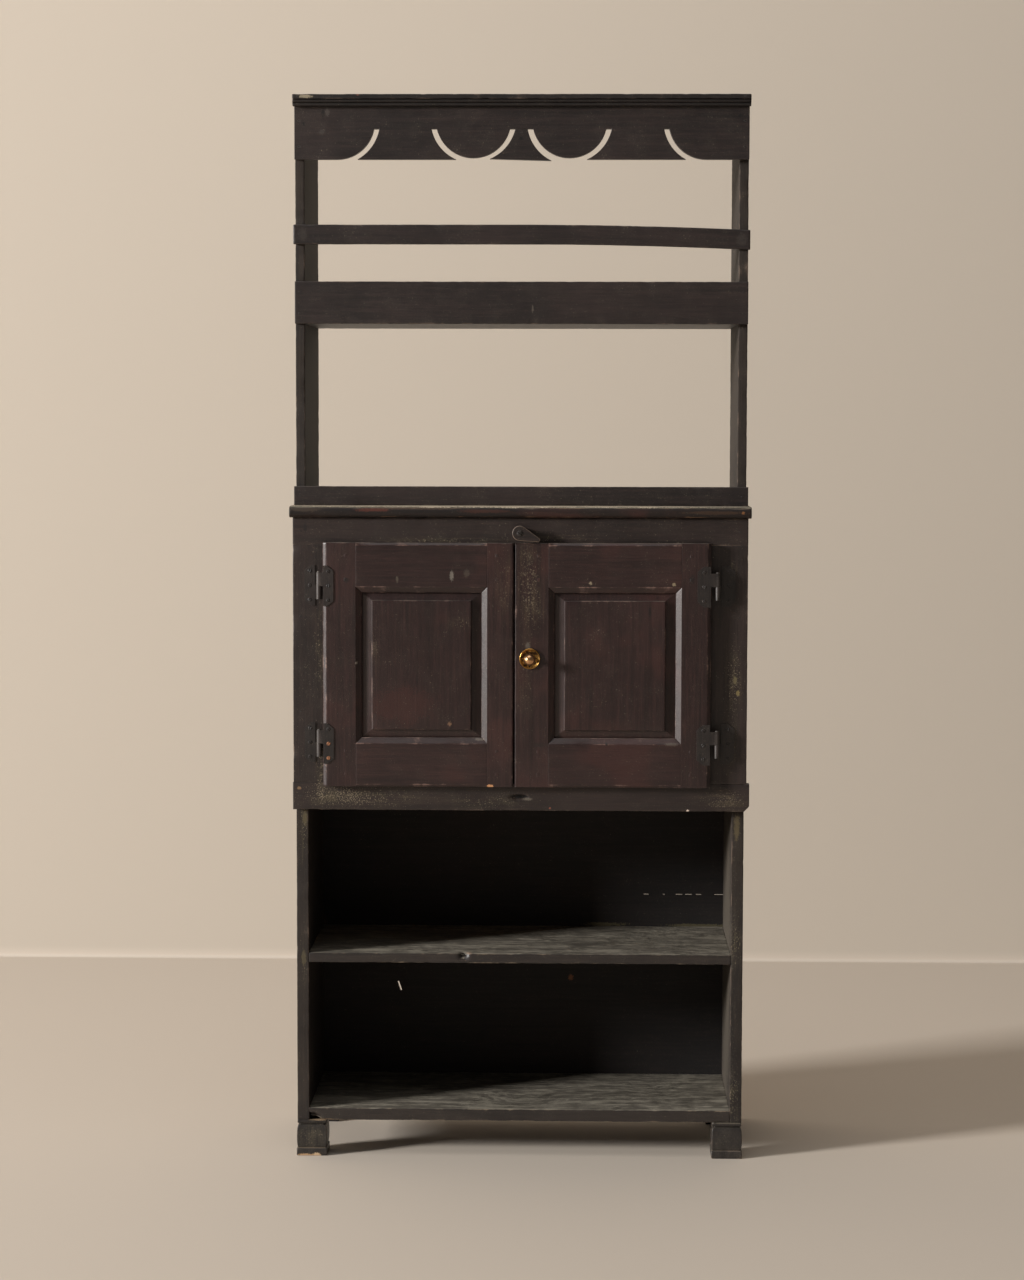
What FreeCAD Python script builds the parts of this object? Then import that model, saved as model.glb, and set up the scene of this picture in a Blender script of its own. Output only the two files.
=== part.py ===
import FreeCAD, Part
import math
import os

# A painted pine step back cupboard: an open plate rack standing on a two-door cupboard, with two open
# shelves below and four moulded feet. Millimetres, +Z up, the front faces -Y and +X is to the right of
# someone who stands before it. The origin is on the floor, in the middle of the whole piece's plan.

# ---------------------------------------------------------------- driving dimensions

# The case, in plan
case_width = 780.0           # over the two side boards
frame_overhang = 3.0         # the face frame stands this far past each side board
case_depth = 324.0           # front of the face frame to the back of the back boards
side_thick = 21.0
face_thick = 20.0            # face frame
back_thick = 13.0

# The case, from the floor up
foot_height = 64.0
bottom_shelf_thick = 21.0
lower_bay = 259.0            # clear height of the lower open shelf
mid_shelf_thick = 17.0
upper_bay = 285.0            # clear height of the upper open shelf
floor_thick = 18.0           # cupboard floor
door_opening = 413.0         # between the face frame's two rails
top_rail_height = 47.0
deck_thick = 20.0

# The plate rack, from the deck up
rack_overhang = 2.0          # the rack is this much wider than the case on each side
rack_setback = 42.0          # face frame to the rack's front boards: the step back
rack_side_thick = 16.0
front_board_thick = 14.0     # frieze, plate guard and bottom rail
rack_bottom_rail_height = 33.0
rack_bottom_rail_overhang = 2.5
plate_bay = 314.0            # deck to the underside of the rack shelf
rack_shelf_thick = 17.0
guard_height = 73.0          # board across the front of the rack shelf
plate_gap = 64.0             # guard to plate rail
plate_rail_height = 34.0
plate_rail_thick = 9.0
plate_rail_overhang = 3.0
plate_rail_droop = 9.0       # its right half has sagged this far
frieze_gap = 111.0           # plate rail to frieze
frieze_height = 110.0
top_board_thick = 16.0

# Cornice strip on the frieze
cornice_height = 20.0
cornice_projection = 16.0
cornice_overhang = 2.0
cornice_fillet = 8.0         # flat band at its top
reed_step = 2.5              # each reed stands this far behind what is above it

# Sawn fretwork of the frieze
disc_radius = 65.0
slot_width = 8.8             # the sawn slot beside a disc
slot_top = 52.0              # above the frieze's lower edge
inner_disc_x = 83.0          # disc centres, from the middle
outer_disc_x = 318.0
inner_disc_lift = 2.6        # the inner discs stop short of the lower edge
patch_tilt = 1.6             # degrees: the broken piece was nailed back a little askew
patch_gap = 0.3

# Deck edge
deck_nose = 12.0             # front overhang
deck_end_overhang = 8.0
nose_top_radius = 9.0
nose_bottom_radius = 4.0

# Face frame
left_stile_width = 59.0
right_stile_width = 69.5
bottom_rail_height = 48.0
bottom_rail_left_over = 1.0  # the rail is longer than the frame is wide
bottom_rail_right_over = 5.0
clipped_corner = 9.0
frame_tenon_thick = 7.0
frame_tenon_length = 28.0
frame_tenon_shoulder = 8.0
old_slot_length = 32.0       # shallow worn slot in the bottom rail
old_slot_height = 6.0
old_slot_depth = 5.0
old_slot_x = -8.0

# Shelves
dado_depth = 6.0
shelf_notch = 14.0           # the dados stop this far behind the front edge
inner_shelf_height = 205.0   # cupboard floor to the underside of the loose shelf
inner_shelf_thick = 16.0
inner_shelf_depth = 205.0
inner_shelf_play = 0.5
cleat_height = 22.0
cleat_thick = 16.0

# Back boards
lower_back_height = 357.0
middle_back_height = 357.0
crack_height = 2.6           # light shows where the lower board's edge has broken away
split_width = 4.0            # a knot split in the lower board
split_length = 19.0
split_lean = 6.3             # to the right at its lower end
split_x = -229.0
split_z = 246.0

# Feet
foot_width = 54.0
foot_cap = 6.0               # fillet under the case
foot_groove = 4.0
foot_base = 14.0
foot_groove_depth = 4.0
foot_waist_depth = 3.0       # how far the rounded body is drawn in at its ends
foot_outset = 1.5            # stands proud of the side board
foot_front_outset = 3.0

# Doors
door_thick = 20.0
door_stand = 0.5             # clearance behind the closed doors
door_side_lap = 6.0
door_rail_lap = 4.5
door_gap = 3.0
door_meeting_x = -9.5
left_hinge_stile = 57.0
left_lock_stile = 45.0
right_lock_stile = 57.5
right_hinge_stile = 51.0
door_top_rail = 76.0
door_bottom_rail = 75.0
sight_bevel = 10.0           # bevel round the sight opening
sight_bevel_depth = 6.5
sight_lip = 2.0              # between the bevel and the panel groove
panel_tongue = 5.0           # also the width of the groove and of the tenons
groove_depth = 8.0
panel_play = 1.0             # room for the panel to swell
panel_margin_side = 17.0     # raised panel's sloping margin
panel_margin_end = 13.0
panel_rise = 4.5             # height of the slope
panel_step = 1.5             # small step round the raised field
door_tenon_length = 34.0
door_tenon_shoulder = 16.0
tenon_inset = 4.0
peg_across = 8.0
peg_inner = 13.0             # peg to the sight opening
peg_outer = 22.0             # peg to the door's end
hinge_arris = 6.0            # worn round-over on the hinge side
hinge_arris_depth = 4.0
small_arris = 1.5
rail_arris = 4.0             # stopped chamfer along the rails' outer edges
rail_arris_depth = 2.5
rail_arris_stop = 6.0

# Hinges
hinge_inset = 74.5           # hinge middle to the door's end
left_hinge_offset = 6.5      # door edge to the pin
right_hinge_offset = 11.0
leaf_height = 70.0
leaf_thick = 1.8
left_leaf_width = 18.0
right_leaf_width = 23.0
leaf_edge = 1.0              # door leaf to the door's edge
leaf_corner_side = 11.0      # sheared corners
leaf_corner_end = 9.0
barrel_radius = 4.5
barrel_length = 46.0
barrel_gap = 0.3
leaf_barrel_gap = 3.5        # frame leaf to the barrel
hinge_pin_radius = 2.0
hinge_pin_clearance = 0.05
hinge_pin_head = 3.2
hinge_pin_head_thick = 1.5
screw_pitch = 25.0
screw_head_radius = 3.4
screw_head_thick = 1.0
screw_shank_radius = 1.5
screw_length = 12.0

# Brass knob
knob_from_edge = 25.5
knob_from_bottom = 223.0
knob_projection = 34.0       # beyond the door's face
knob_radius = 10.0
knob_neck_radius = 4.5
knob_waist_radius = 3.4
ball_rings = 7               # rings of flats from the ball's front to its neck
knob_flats = 24              # flats round each ring
rose_radius = 18.0
rose_thick = 4.5
rose_rim = 2.5
rose_dish = 2.2
knob_screw_radius = 2.2
knob_screw_head = 5.0
knob_screw_head_thick = 2.0
knob_screw_bite = 12.0       # how far it runs into the knob

# Turn button
button_above_door = 17.2     # pivot above the doors
button_head_radius = 13.0
button_tip_radius = 4.0
button_length = 33.0         # pivot to the middle of the tip's round
button_thick = 6.0
button_boss_radius = 10.0
button_seat = 0.3            # running gap against the rail
button_door_gap = 1.0        # it passes this far in front of the doors
button_rest = -20.0          # degrees from the horizontal, pointing right
button_screw_radius = 2.2
button_screw_clearance = 0.05
button_screw_head = 5.0
button_screw_head_thick = 1.6
button_screw_gap = 0.2
button_screw_bite = 14.0

# Cut nails
nail_wide = 4.0
nail_narrow = 2.6
nail_length = 38.0
nail_inset = 8.0             # from the end of a rack board
frieze_nails = (0.2, 0.6)    # places up the frieze's height, as shares of it
guard_nails = (0.25, 0.75)
stile_nails = (0.3, 0.7)
board_nails = (0.2, 0.8)     # back boards, and the rack's uprights along their depth
deck_nails = (0.1, 0.9)
patch_nail_length = 18.0
cut_past = 1.0               # cutters run this far past the wood

# ---------------------------------------------------------------- levels and planes

door_front = door_stand + door_thick
face_y = (door_front + knob_projection - case_depth) / 2.0
carcass_y = face_y + face_thick
back_y = face_y + case_depth
back_inner_y = back_y - back_thick
door_y = face_y - door_front
rack_face_y = face_y + rack_setback
rack_y = rack_face_y + front_board_thick

bottom_shelf_z = foot_height
bottom_shelf_top = bottom_shelf_z + bottom_shelf_thick
mid_shelf_z = bottom_shelf_top + lower_bay
mid_shelf_top = mid_shelf_z + mid_shelf_thick
floor_z = mid_shelf_top + upper_bay
floor_top = floor_z + floor_thick
opening_top = floor_top + door_opening
deck_z = opening_top + top_rail_height
deck_top = deck_z + deck_thick
rack_shelf_z = deck_top + plate_bay
rack_shelf_top = rack_shelf_z + rack_shelf_thick
guard_top = rack_shelf_z + guard_height
plate_rail_z = guard_top + plate_gap
plate_rail_top = plate_rail_z + plate_rail_height
frieze_z = plate_rail_top + frieze_gap
rack_top = frieze_z + frieze_height
top_board_z = rack_top - top_board_thick
cornice_z = rack_top - cornice_height

half_case = case_width / 2.0
half_frame = half_case + frame_overhang
inner_x = half_case - side_thick
half_rack = half_case + rack_overhang
rack_inner_x = half_rack - rack_side_thick
side_mid_x = half_case - side_thick / 2.0

door_bottom = floor_top - door_rail_lap
door_top = opening_top + door_rail_lap
left_opening_x = -half_frame + left_stile_width
right_opening_x = half_frame - right_stile_width
left_door_x = (left_opening_x - door_side_lap, door_meeting_x - door_gap / 2.0)
right_door_x = (door_meeting_x + door_gap / 2.0, right_opening_x + door_side_lap)

groove_y = door_y + sight_bevel_depth + sight_lip
groove_back_y = groove_y + panel_tongue
hinge_y = door_y + barrel_radius - leaf_thick
upper_hinge_z = door_top - hinge_inset
lower_hinge_z = door_bottom + hinge_inset
left_pin_x = left_door_x[0] - left_hinge_offset
right_pin_x = right_door_x[1] + right_hinge_offset
knob_x = right_door_x[0] + knob_from_edge
knob_z = door_bottom + knob_from_bottom
button_z = door_top + button_above_door
slot_top_z = frieze_z + slot_top

V = FreeCAD.Vector


# ---------------------------------------------------------------- how pieces are made

def block(x0, x1, y0, y1, z0, z1):
    """A board or stick between two opposite corners."""
    return Part.makeBox(x1 - x0, y1 - y0, z1 - z0, V(x0, y0, z0))


def plate(outline, y0, y1):
    """A flat piece seen from the front: an outline of (x, z) corners, from y0 back to y1."""
    wire = Part.makePolygon([V(x, y0, z) for x, z in outline + outline[:1]])
    return Part.Face(wire).extrude(V(0, y1 - y0, 0))


def upright(outline, z, height):
    """A piece seen from above: an outline of (x, y) corners carried up from a level."""
    wire = Part.makePolygon([V(x, y, z) for x, y in outline + outline[:1]])
    return Part.Face(wire).extrude(V(0, 0, height))


def disc(radius, x, z, y0, y1):
    """A round piece or hole with its axis along Y."""
    return Part.makeCylinder(radius, y1 - y0, V(x, y0, z), V(0, 1, 0))


def flats(count, radius, x, z):
    """Corners of a regular figure with that many sides, inside a circle."""
    turn = 2 * math.pi / count
    return [(x + radius * math.cos((i + 0.5) * turn), z + radius * math.sin((i + 0.5) * turn))
            for i in range(count)]


def mirrored(shape):
    """The left-hand piece as its right-hand twin."""
    return shape.mirror(V(0, 0, 0), V(1, 0, 0))


def arc(start, middle, end):
    return Part.Arc(V(*start), V(*middle), V(*end)).toShape()


def line(start, end):
    return Part.makeLine(V(*start), V(*end))


def rounded(shape, radius, picks):
    """Fillets the straight edges whose two ends both pass the test."""
    edges = [edge for edge in shape.Edges if all(picks(vertex.Point) for vertex in edge.Vertexes)]
    return shape.makeFillet(radius, edges)


def near(a, b):
    return abs(a - b) < 0.001


# ---------------------------------------------------------------- plate rack

def rack_side():
    """Right-hand upright with the dado that carries the rack shelf."""
    board = block(rack_inner_x, half_rack, rack_y, back_y, deck_top, top_board_z)
    dado = block(rack_inner_x, rack_inner_x + dado_depth, rack_y, back_y, rack_shelf_z, rack_shelf_top)
    return board.cut(dado)


def rack_shelf():
    reach = rack_inner_x + dado_depth
    return block(-reach, reach, rack_y, back_y, rack_shelf_z, rack_shelf_top)


def rack_top_board():
    return block(-half_rack, half_rack, rack_y, back_y, top_board_z, rack_top)


def front_board(z0, z1, overhang=0.0):
    """A board nailed across the front edges of the uprights."""
    end = half_rack + overhang
    return block(-end, end, rack_face_y, rack_y, z0, z1)


def plate_rail():
    """Thin strip that stops plates from falling: level to the middle, then sagging to the right."""
    end = half_rack + plate_rail_overhang
    y = rack_y - plate_rail_thick
    sag = plate_rail_droop
    low, high = plate_rail_z, plate_rail_top
    edges = [
        line((-end, y, low), (0, y, low)),
        arc((0, y, low), (end / 2, y, low - sag / 4), (end, y, low - sag)),
        line((end, y, low - sag), (end, y, high - sag)),
        arc((end, y, high - sag), (end / 2, y, high - sag / 4), (0, y, high)),
        line((0, y, high), (-end, y, high)),
        line((-end, y, high), (-end, y, low)),
    ]
    return Part.Face(Part.Wire(edges)).extrude(V(0, plate_rail_thick, 0))


def disc_centre_z(lift):
    return frieze_z + lift + disc_radius


def swag_slot(x, lift, side):
    """The slot sawn round one side of a disc, from its flat top down through the lower edge."""
    z = disc_centre_z(lift)
    ring = disc(disc_radius + slot_width, x, z, rack_face_y, rack_y)
    ring = ring.cut(disc(disc_radius, x, z, rack_face_y, rack_y))
    reach = x + side * (disc_radius + slot_width)
    low = z - disc_radius - slot_width
    window = block(min(x, reach), max(x, reach), rack_face_y, rack_y, low, slot_top_z)
    return ring.common(window)


def broken_piece():
    """The fret between the two middle discs, below the level of the slots' tops."""
    web = block(-inner_disc_x, inner_disc_x, rack_face_y, rack_y, frieze_z, slot_top_z)
    for x in (-inner_disc_x, inner_disc_x):
        web = web.cut(disc(disc_radius + slot_width, x, disc_centre_z(inner_disc_lift), rack_face_y, rack_y))
    return web


def frieze_board():
    board = front_board(frieze_z, rack_top)
    for x in (-inner_disc_x, inner_disc_x):
        for side in (-1, 1):
            board = board.cut(swag_slot(x, inner_disc_lift, side))
    board = board.cut(swag_slot(-outer_disc_x, 0.0, 1))
    board = board.cut(swag_slot(outer_disc_x, 0.0, -1))
    return board.cut(broken_piece())


def frieze_patch():
    """The broken fret, set back in place and turned a little about its top left corner."""
    piece = broken_piece()
    drop = slot_top_z - disc_centre_z(inner_disc_lift)
    corner = -inner_disc_x + math.sqrt((disc_radius + slot_width) ** 2 - drop ** 2)
    piece.rotate(V(corner, 0, slot_top_z), V(0, 1, 0), patch_tilt)
    piece.translate(V(0, 0, -patch_gap))
    return piece


def cornice():
    """Reeded strip: a flat band over two reeds, each set back from the one above."""
    end = half_rack + cornice_overhang
    reed = (cornice_height - cornice_fillet) / 2.0
    front = rack_face_y - cornice_projection
    band_z = rack_top - cornice_fillet
    first = front + reed_step
    second = front + 2 * reed_step
    edges = [
        line((-end, rack_face_y, cornice_z), (-end, rack_face_y, rack_top)),
        line((-end, rack_face_y, rack_top), (-end, front, rack_top)),
        line((-end, front, rack_top), (-end, front, band_z)),
        line((-end, front, band_z), (-end, first + reed / 2, band_z)),
        arc((-end, first + reed / 2, band_z), (-end, first, band_z - reed / 2),
            (-end, first + reed / 2, band_z - reed)),
        line((-end, first + reed / 2, band_z - reed), (-end, second + reed / 2, band_z - reed)),
        arc((-end, second + reed / 2, band_z - reed), (-end, second, band_z - 1.5 * reed),
            (-end, second + reed / 2, cornice_z)),
        line((-end, second + reed / 2, cornice_z), (-end, rack_face_y, cornice_z)),
    ]
    return Part.Face(Part.Wire(edges)).extrude(V(2 * end, 0, 0))


# ---------------------------------------------------------------- case

def deck_board():
    """Top of the cupboard, its front edge rounded over."""
    end = half_case + deck_end_overhang
    front = face_y - deck_nose
    board = block(-end, end, front, back_y, deck_z, deck_top)
    board = rounded(board, nose_top_radius, lambda p: near(p.y, front) and near(p.z, deck_top))
    return rounded(board, nose_bottom_radius, lambda p: near(p.y, front) and near(p.z, deck_z))


def stile_tenons(x0, x1):
    """The tenons at both ends of a face frame stile, also used to cut their mortises."""
    y = face_y + (face_thick - frame_tenon_thick) / 2.0
    x0, x1 = x0 + frame_tenon_shoulder, x1 - frame_tenon_shoulder
    lower = block(x0, x1, y, y + frame_tenon_thick, floor_top - frame_tenon_length, floor_top)
    upper = block(x0, x1, y, y + frame_tenon_thick, opening_top, opening_top + frame_tenon_length)
    return lower, upper


left_stile_x = (-half_frame, left_opening_x)
right_stile_x = (right_opening_x, half_frame)


def face_stile(x0, x1):
    stile = block(x0, x1, face_y, carcass_y, floor_top, opening_top)
    return stile.multiFuse(list(stile_tenons(x0, x1))).removeSplitter()


def face_top_rail():
    rail = block(-half_frame, half_frame, face_y, carcass_y, opening_top, deck_z)
    for x0, x1 in (left_stile_x, right_stile_x):
        rail = rail.cut(stile_tenons(x0, x1)[1])
    return rail


def face_bottom_rail():
    """Runs past the frame to the right, with that lower corner sawn off, and has an old worn slot."""
    left = -half_frame - bottom_rail_left_over
    right = half_frame + bottom_rail_right_over
    low = floor_top - bottom_rail_height
    outline = [(left, low), (right - clipped_corner, low), (right, low + clipped_corner),
               (right, floor_top), (left, floor_top)]
    rail = plate(outline, face_y, carcass_y)
    for x0, x1 in (left_stile_x, right_stile_x):
        rail = rail.cut(stile_tenons(x0, x1)[0])
    radius = old_slot_height / 2.0
    half = old_slot_length / 2.0 - radius
    middle = floor_top - bottom_rail_height / 2.0
    slot_y = face_y + old_slot_depth
    slot = block(old_slot_x - half, old_slot_x + half, face_y, slot_y, middle - radius, middle + radius)
    ends = [disc(radius, old_slot_x + side * half, middle, face_y, slot_y) for side in (-1, 1)]
    return rail.cut(slot.multiFuse(ends))


def dado(z0, z1, front):
    return block(inner_x, inner_x + dado_depth, front, back_inner_y, z0, z1)


def case_side():
    """Right-hand side board with the dados of the two shelves and of the cupboard floor."""
    board = block(inner_x, half_case, carcass_y, back_inner_y, foot_height, deck_z)
    board = board.cut(dado(floor_z, floor_top, carcass_y))
    board = board.cut(dado(mid_shelf_z, mid_shelf_top, carcass_y + shelf_notch))
    return board.cut(dado(bottom_shelf_z, bottom_shelf_top, carcass_y + shelf_notch))


def open_shelf(z0, z1):
    """A shelf that fills the case, its front corners notched round the stopped dados."""
    board = block(-inner_x, inner_x, carcass_y, back_inner_y, z0, z1)
    reach = inner_x + dado_depth
    ends = block(-reach, reach, carcass_y + shelf_notch, back_inner_y, z0, z1)
    return board.fuse(ends).removeSplitter()


def cupboard_floor():
    reach = inner_x + dado_depth
    return block(-reach, reach, carcass_y, back_inner_y, floor_z, floor_top)


inner_shelf_z = floor_top + inner_shelf_height


def shelf_cleats():
    """Two sticks nailed to the sides that carry the loose shelf inside the cupboard."""
    front = back_inner_y - inner_shelf_depth
    cleat = block(inner_x - cleat_thick, inner_x, front, back_inner_y,
                  inner_shelf_z - cleat_height, inner_shelf_z)
    return Part.makeCompound([mirrored(cleat), cleat])


def cupboard_shelf():
    reach = inner_x - inner_shelf_play
    return block(-reach, reach, back_inner_y - inner_shelf_depth, back_inner_y,
                 inner_shelf_z, inner_shelf_z + inner_shelf_thick)


lower_back_top = bottom_shelf_z + lower_back_height
middle_back_top = lower_back_top + middle_back_height

# Where the lower back board's upper edge has splintered: distance from its right end, and length
splinters = [(167.0, 9.0), (132.0, 4.0), (108.0, 12.0), (91.0, 13.0), (71.0, 10.0), (37.0, 26.0)]


def back_board(z0, z1):
    return block(-half_case, half_case, back_inner_y, back_y, z0, z1)


def back_board_lower():
    """Lowest back board, with its splintered upper edge and a split beside a knot."""
    board = back_board(bottom_shelf_z, lower_back_top)
    for from_end, length in splinters:
        x0 = half_case - from_end
        crack = block(x0, x0 + length, back_inner_y, back_y, lower_back_top - crack_height, lower_back_top)
        board = board.cut(crack)
    low, high = split_z - split_length / 2.0, split_z + split_length / 2.0
    foot_x = split_x + split_lean
    split = [(foot_x - split_width, low), (foot_x, low), (split_x, high), (split_x - split_width, high)]
    return board.cut(plate(split, back_inner_y, back_y))


# ---------------------------------------------------------------- feet

def foot_section(axis):
    """A foot's moulded outline carried the whole width of the block, along X or along Y."""
    half = foot_width / 2.0
    drawn_in = half - foot_waist_depth
    cap_z = foot_height - foot_cap
    body_top = cap_z - foot_groove
    body_mid = (foot_base + body_top) / 2.0
    cap = half - foot_waist_depth / 2.0
    groove = cap - foot_groove_depth

    def at(side, z):
        return (side, -half, z) if axis == "Y" else (-half, side, z)

    edges = []
    for sign in (1, -1):
        edges += [
            line(at(sign * half, 0), at(sign * half, foot_base)),
            line(at(sign * half, foot_base), at(sign * drawn_in, foot_base)),
            arc(at(sign * drawn_in, foot_base), at(sign * half, body_mid), at(sign * drawn_in, body_top)),
            line(at(sign * drawn_in, body_top), at(sign * groove, body_top)),
            line(at(sign * groove, body_top), at(sign * groove, cap_z)),
            line(at(sign * groove, cap_z), at(sign * cap, cap_z)),
            line(at(sign * cap, cap_z), at(sign * cap, foot_height)),
        ]
    edges.append(line(at(cap, foot_height), at(-cap, foot_height)))
    edges.append(line(at(half, 0), at(-half, 0)))
    wire = Part.Wire(Part.__sortEdges__(edges))
    length = V(0, foot_width, 0) if axis == "Y" else V(foot_width, 0, 0)
    return Part.Face(wire).extrude(length)


def foot(x_side, y):
    """One foot: the same moulding runs round all four faces."""
    block_foot = foot_section("X").common(foot_section("Y"))
    x = half_case + foot_outset - foot_width / 2.0
    block_foot.translate(V(x_side * x, y, 0))
    return block_foot


front_foot_y = carcass_y - foot_front_outset + foot_width / 2.0
back_foot_y = back_y - foot_width / 2.0


# ---------------------------------------------------------------- doors

class Door:
    """One frame-and-panel door, parted into its five pieces."""

    def __init__(self, edges_x, left_stile, right_stile, hinge_on_left):
        self.x0, self.x1 = edges_x
        self.left_joint = self.x0 + left_stile
        self.right_joint = self.x1 - right_stile
        self.low_joint = door_bottom + door_bottom_rail
        self.high_joint = door_top - door_top_rail
        self.hinge_on_left = hinge_on_left

    def sight(self, grow):
        """The sight opening's four corners, grown by a distance all round."""
        return [(self.left_joint - grow, self.low_joint - grow), (self.right_joint + grow, self.low_joint - grow),
                (self.right_joint + grow, self.high_joint + grow), (self.left_joint - grow, self.high_joint + grow)]

    def outer_chamfers(self):
        """Worn arrises round the front of the door, larger on the hinge side."""
        left = (hinge_arris, hinge_arris_depth) if self.hinge_on_left else (small_arris, small_arris)
        right = (small_arris, small_arris) if self.hinge_on_left else (hinge_arris, hinge_arris_depth)
        cutters = []
        for edge, inward, (wide, deep) in ((self.x0, 1, left), (self.x1, -1, right)):
            corners = [V(edge, door_y, door_bottom), V(edge + inward * wide, door_y, door_bottom),
                       V(edge, door_y + deep, door_bottom)]
            wire = Part.makePolygon(corners + corners[:1])
            cutters.append(Part.Face(wire).extrude(V(0, 0, door_top - door_bottom)))
        for edge, inward in ((door_bottom, 1), (door_top, -1)):
            corners = [V(self.x0, door_y, edge), V(self.x0, door_y, edge + inward * small_arris),
                       V(self.x0, door_y + small_arris, edge)]
            wire = Part.makePolygon(corners + corners[:1])
            cutters.append(Part.Face(wire).extrude(V(self.x1 - self.x0, 0, 0)))
            cutters.append(self.stopped_chamfer(edge, inward))
        return cutters

    def stopped_chamfer(self, edge, inward):
        """The rails' own chamfer, run out short of the stiles."""
        corners = [V(self.left_joint, door_y, edge), V(self.left_joint, door_y, edge + inward * rail_arris),
                   V(self.left_joint, door_y + rail_arris_depth, edge)]
        prism = Part.Face(Part.makePolygon(corners + corners[:1])).extrude(
            V(self.right_joint - self.left_joint, 0, 0))
        start, stop = self.left_joint + cut_past, self.right_joint - cut_past
        deep = door_y + rail_arris_depth
        plan = [V(start, door_y, door_bottom), V(stop, door_y, door_bottom),
                V(stop - rail_arris_stop, deep, door_bottom), V(start + rail_arris_stop, deep, door_bottom)]
        runout = Part.Face(Part.makePolygon(plan + plan[:1])).extrude(V(0, 0, door_top - door_bottom))
        return prism.common(runout)

    def ring(self):
        """The whole door frame as one slab: bevelled sight opening, panel groove, worn arrises."""
        slab = block(self.x0, self.x1, door_y, face_y - door_stand, door_bottom, door_top)
        bevel_y = door_y + sight_bevel_depth
        wires = []
        for y, grow in ((door_y, 0.0), (bevel_y, -sight_bevel)):
            corners = [V(x, y, z) for x, z in self.sight(grow)]
            wires.append(Part.makePolygon(corners + corners[:1]))
        slab = slab.cut(Part.makeLoft(wires, True, True))
        slab = slab.cut(plate(self.sight(-sight_bevel), bevel_y, face_y - door_stand))
        slab = slab.cut(plate(self.sight(groove_depth - sight_bevel), groove_y, groove_back_y))
        for cutter in self.outer_chamfers():
            slab = slab.cut(cutter)
        return slab

    def tenons(self, low, high):
        """Left and right tenons of a rail between two levels, which also cut their mortises."""
        return [block(self.left_joint - door_tenon_length, self.left_joint, groove_y, groove_back_y, low, high),
                block(self.right_joint, self.right_joint + door_tenon_length, groove_y, groove_back_y, low, high)]

    def all_tenons(self):
        upper = self.tenons(self.high_joint + tenon_inset, door_top - door_tenon_shoulder)
        lower = self.tenons(door_bottom + door_tenon_shoulder, self.low_joint - tenon_inset)
        return upper, lower

    def peg_holes(self):
        """Riven square pegs, two through each mortise and tenon."""
        pegs = []
        for x in (self.left_joint - door_tenon_length / 2.0, self.right_joint + door_tenon_length / 2.0):
            for z in (door_bottom + peg_outer, self.low_joint - peg_inner,
                      self.high_joint + peg_inner, door_top - peg_outer):
                pegs.append(plate(flats(4, peg_across / 2.0, x, z), door_y, face_y - door_stand))
        return pegs

    def pieces(self):
        ring = self.ring()
        bevel = sight_bevel
        lj, rj, lo, hi = self.left_joint, self.right_joint, self.low_joint, self.high_joint
        outlines = {
            "left": [(self.x0, door_bottom), (lj, door_bottom), (lj, lo), (lj + bevel, lo + bevel),
                     (lj + bevel, hi - bevel), (lj, hi), (lj, door_top), (self.x0, door_top)],
            "right": [(self.x1, door_bottom), (rj, door_bottom), (rj, lo), (rj - bevel, lo + bevel),
                      (rj - bevel, hi - bevel), (rj, hi), (rj, door_top), (self.x1, door_top)],
            "top": [(lj, hi), (lj + bevel, hi - bevel), (rj - bevel, hi - bevel), (rj, hi),
                    (rj, door_top), (lj, door_top)],
            "bottom": [(lj, lo), (lj + bevel, lo + bevel), (rj - bevel, lo + bevel), (rj, lo),
                       (rj, door_bottom), (lj, door_bottom)],
        }
        parts = {side: ring.common(plate(outline, door_y, face_y - door_stand))
                 for side, outline in outlines.items()}
        upper, lower = self.all_tenons()
        parts["top"] = parts["top"].multiFuse(upper).removeSplitter()
        parts["bottom"] = parts["bottom"].multiFuse(lower).removeSplitter()
        for side, index in (("left", 0), ("right", 1)):
            parts[side] = parts[side].cut(upper[index]).cut(lower[index])
        pegs = self.peg_holes()
        for side in parts:
            for peg in pegs:
                parts[side] = parts[side].cut(peg)
        parts["pegs"] = Part.makeCompound(pegs)
        parts["panel"] = self.panel()
        hinge, lock = ("left", "right") if self.hinge_on_left else ("right", "left")
        return {"hinge_stile": parts[hinge], "lock_stile": parts[lock], "top_rail": parts["top"],
                "bottom_rail": parts["bottom"], "panel": parts["panel"], "pegs": parts["pegs"]}

    def panel(self):
        """Raised panel: a tongue all round, a sloping margin, and a flat field behind a small step."""
        tongue = plate(self.sight(groove_depth - sight_bevel - panel_play), groove_y, groove_back_y)
        crest_y = groove_y - panel_rise
        outer = self.sight(-sight_bevel)
        side, end = panel_margin_side, panel_margin_end
        inward = ((side, end), (-side, end), (-side, -end), (side, -end))
        inner = [(x + dx, z + dz) for (x, z), (dx, dz) in zip(outer, inward)]
        wires = []
        for y, corners in ((groove_y, outer), (crest_y, inner)):
            points = [V(x, y, z) for x, z in corners]
            wires.append(Part.makePolygon(points + points[:1]))
        slope = Part.makeLoft(wires, True, True)
        field = plate(inner, crest_y - panel_step, crest_y)
        return tongue.multiFuse([slope, field]).removeSplitter()


left_door = Door(left_door_x, left_hinge_stile, left_lock_stile, True)
right_door = Door(right_door_x, right_lock_stile, right_hinge_stile, False)


# ---------------------------------------------------------------- hinges

def knuckle_span(upper):
    """The half of the barrel that belongs to a leaf, as heights from the hinge's middle."""
    if upper:
        return barrel_gap / 2.0, barrel_length / 2.0
    return -barrel_length / 2.0, -barrel_gap / 2.0


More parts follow.
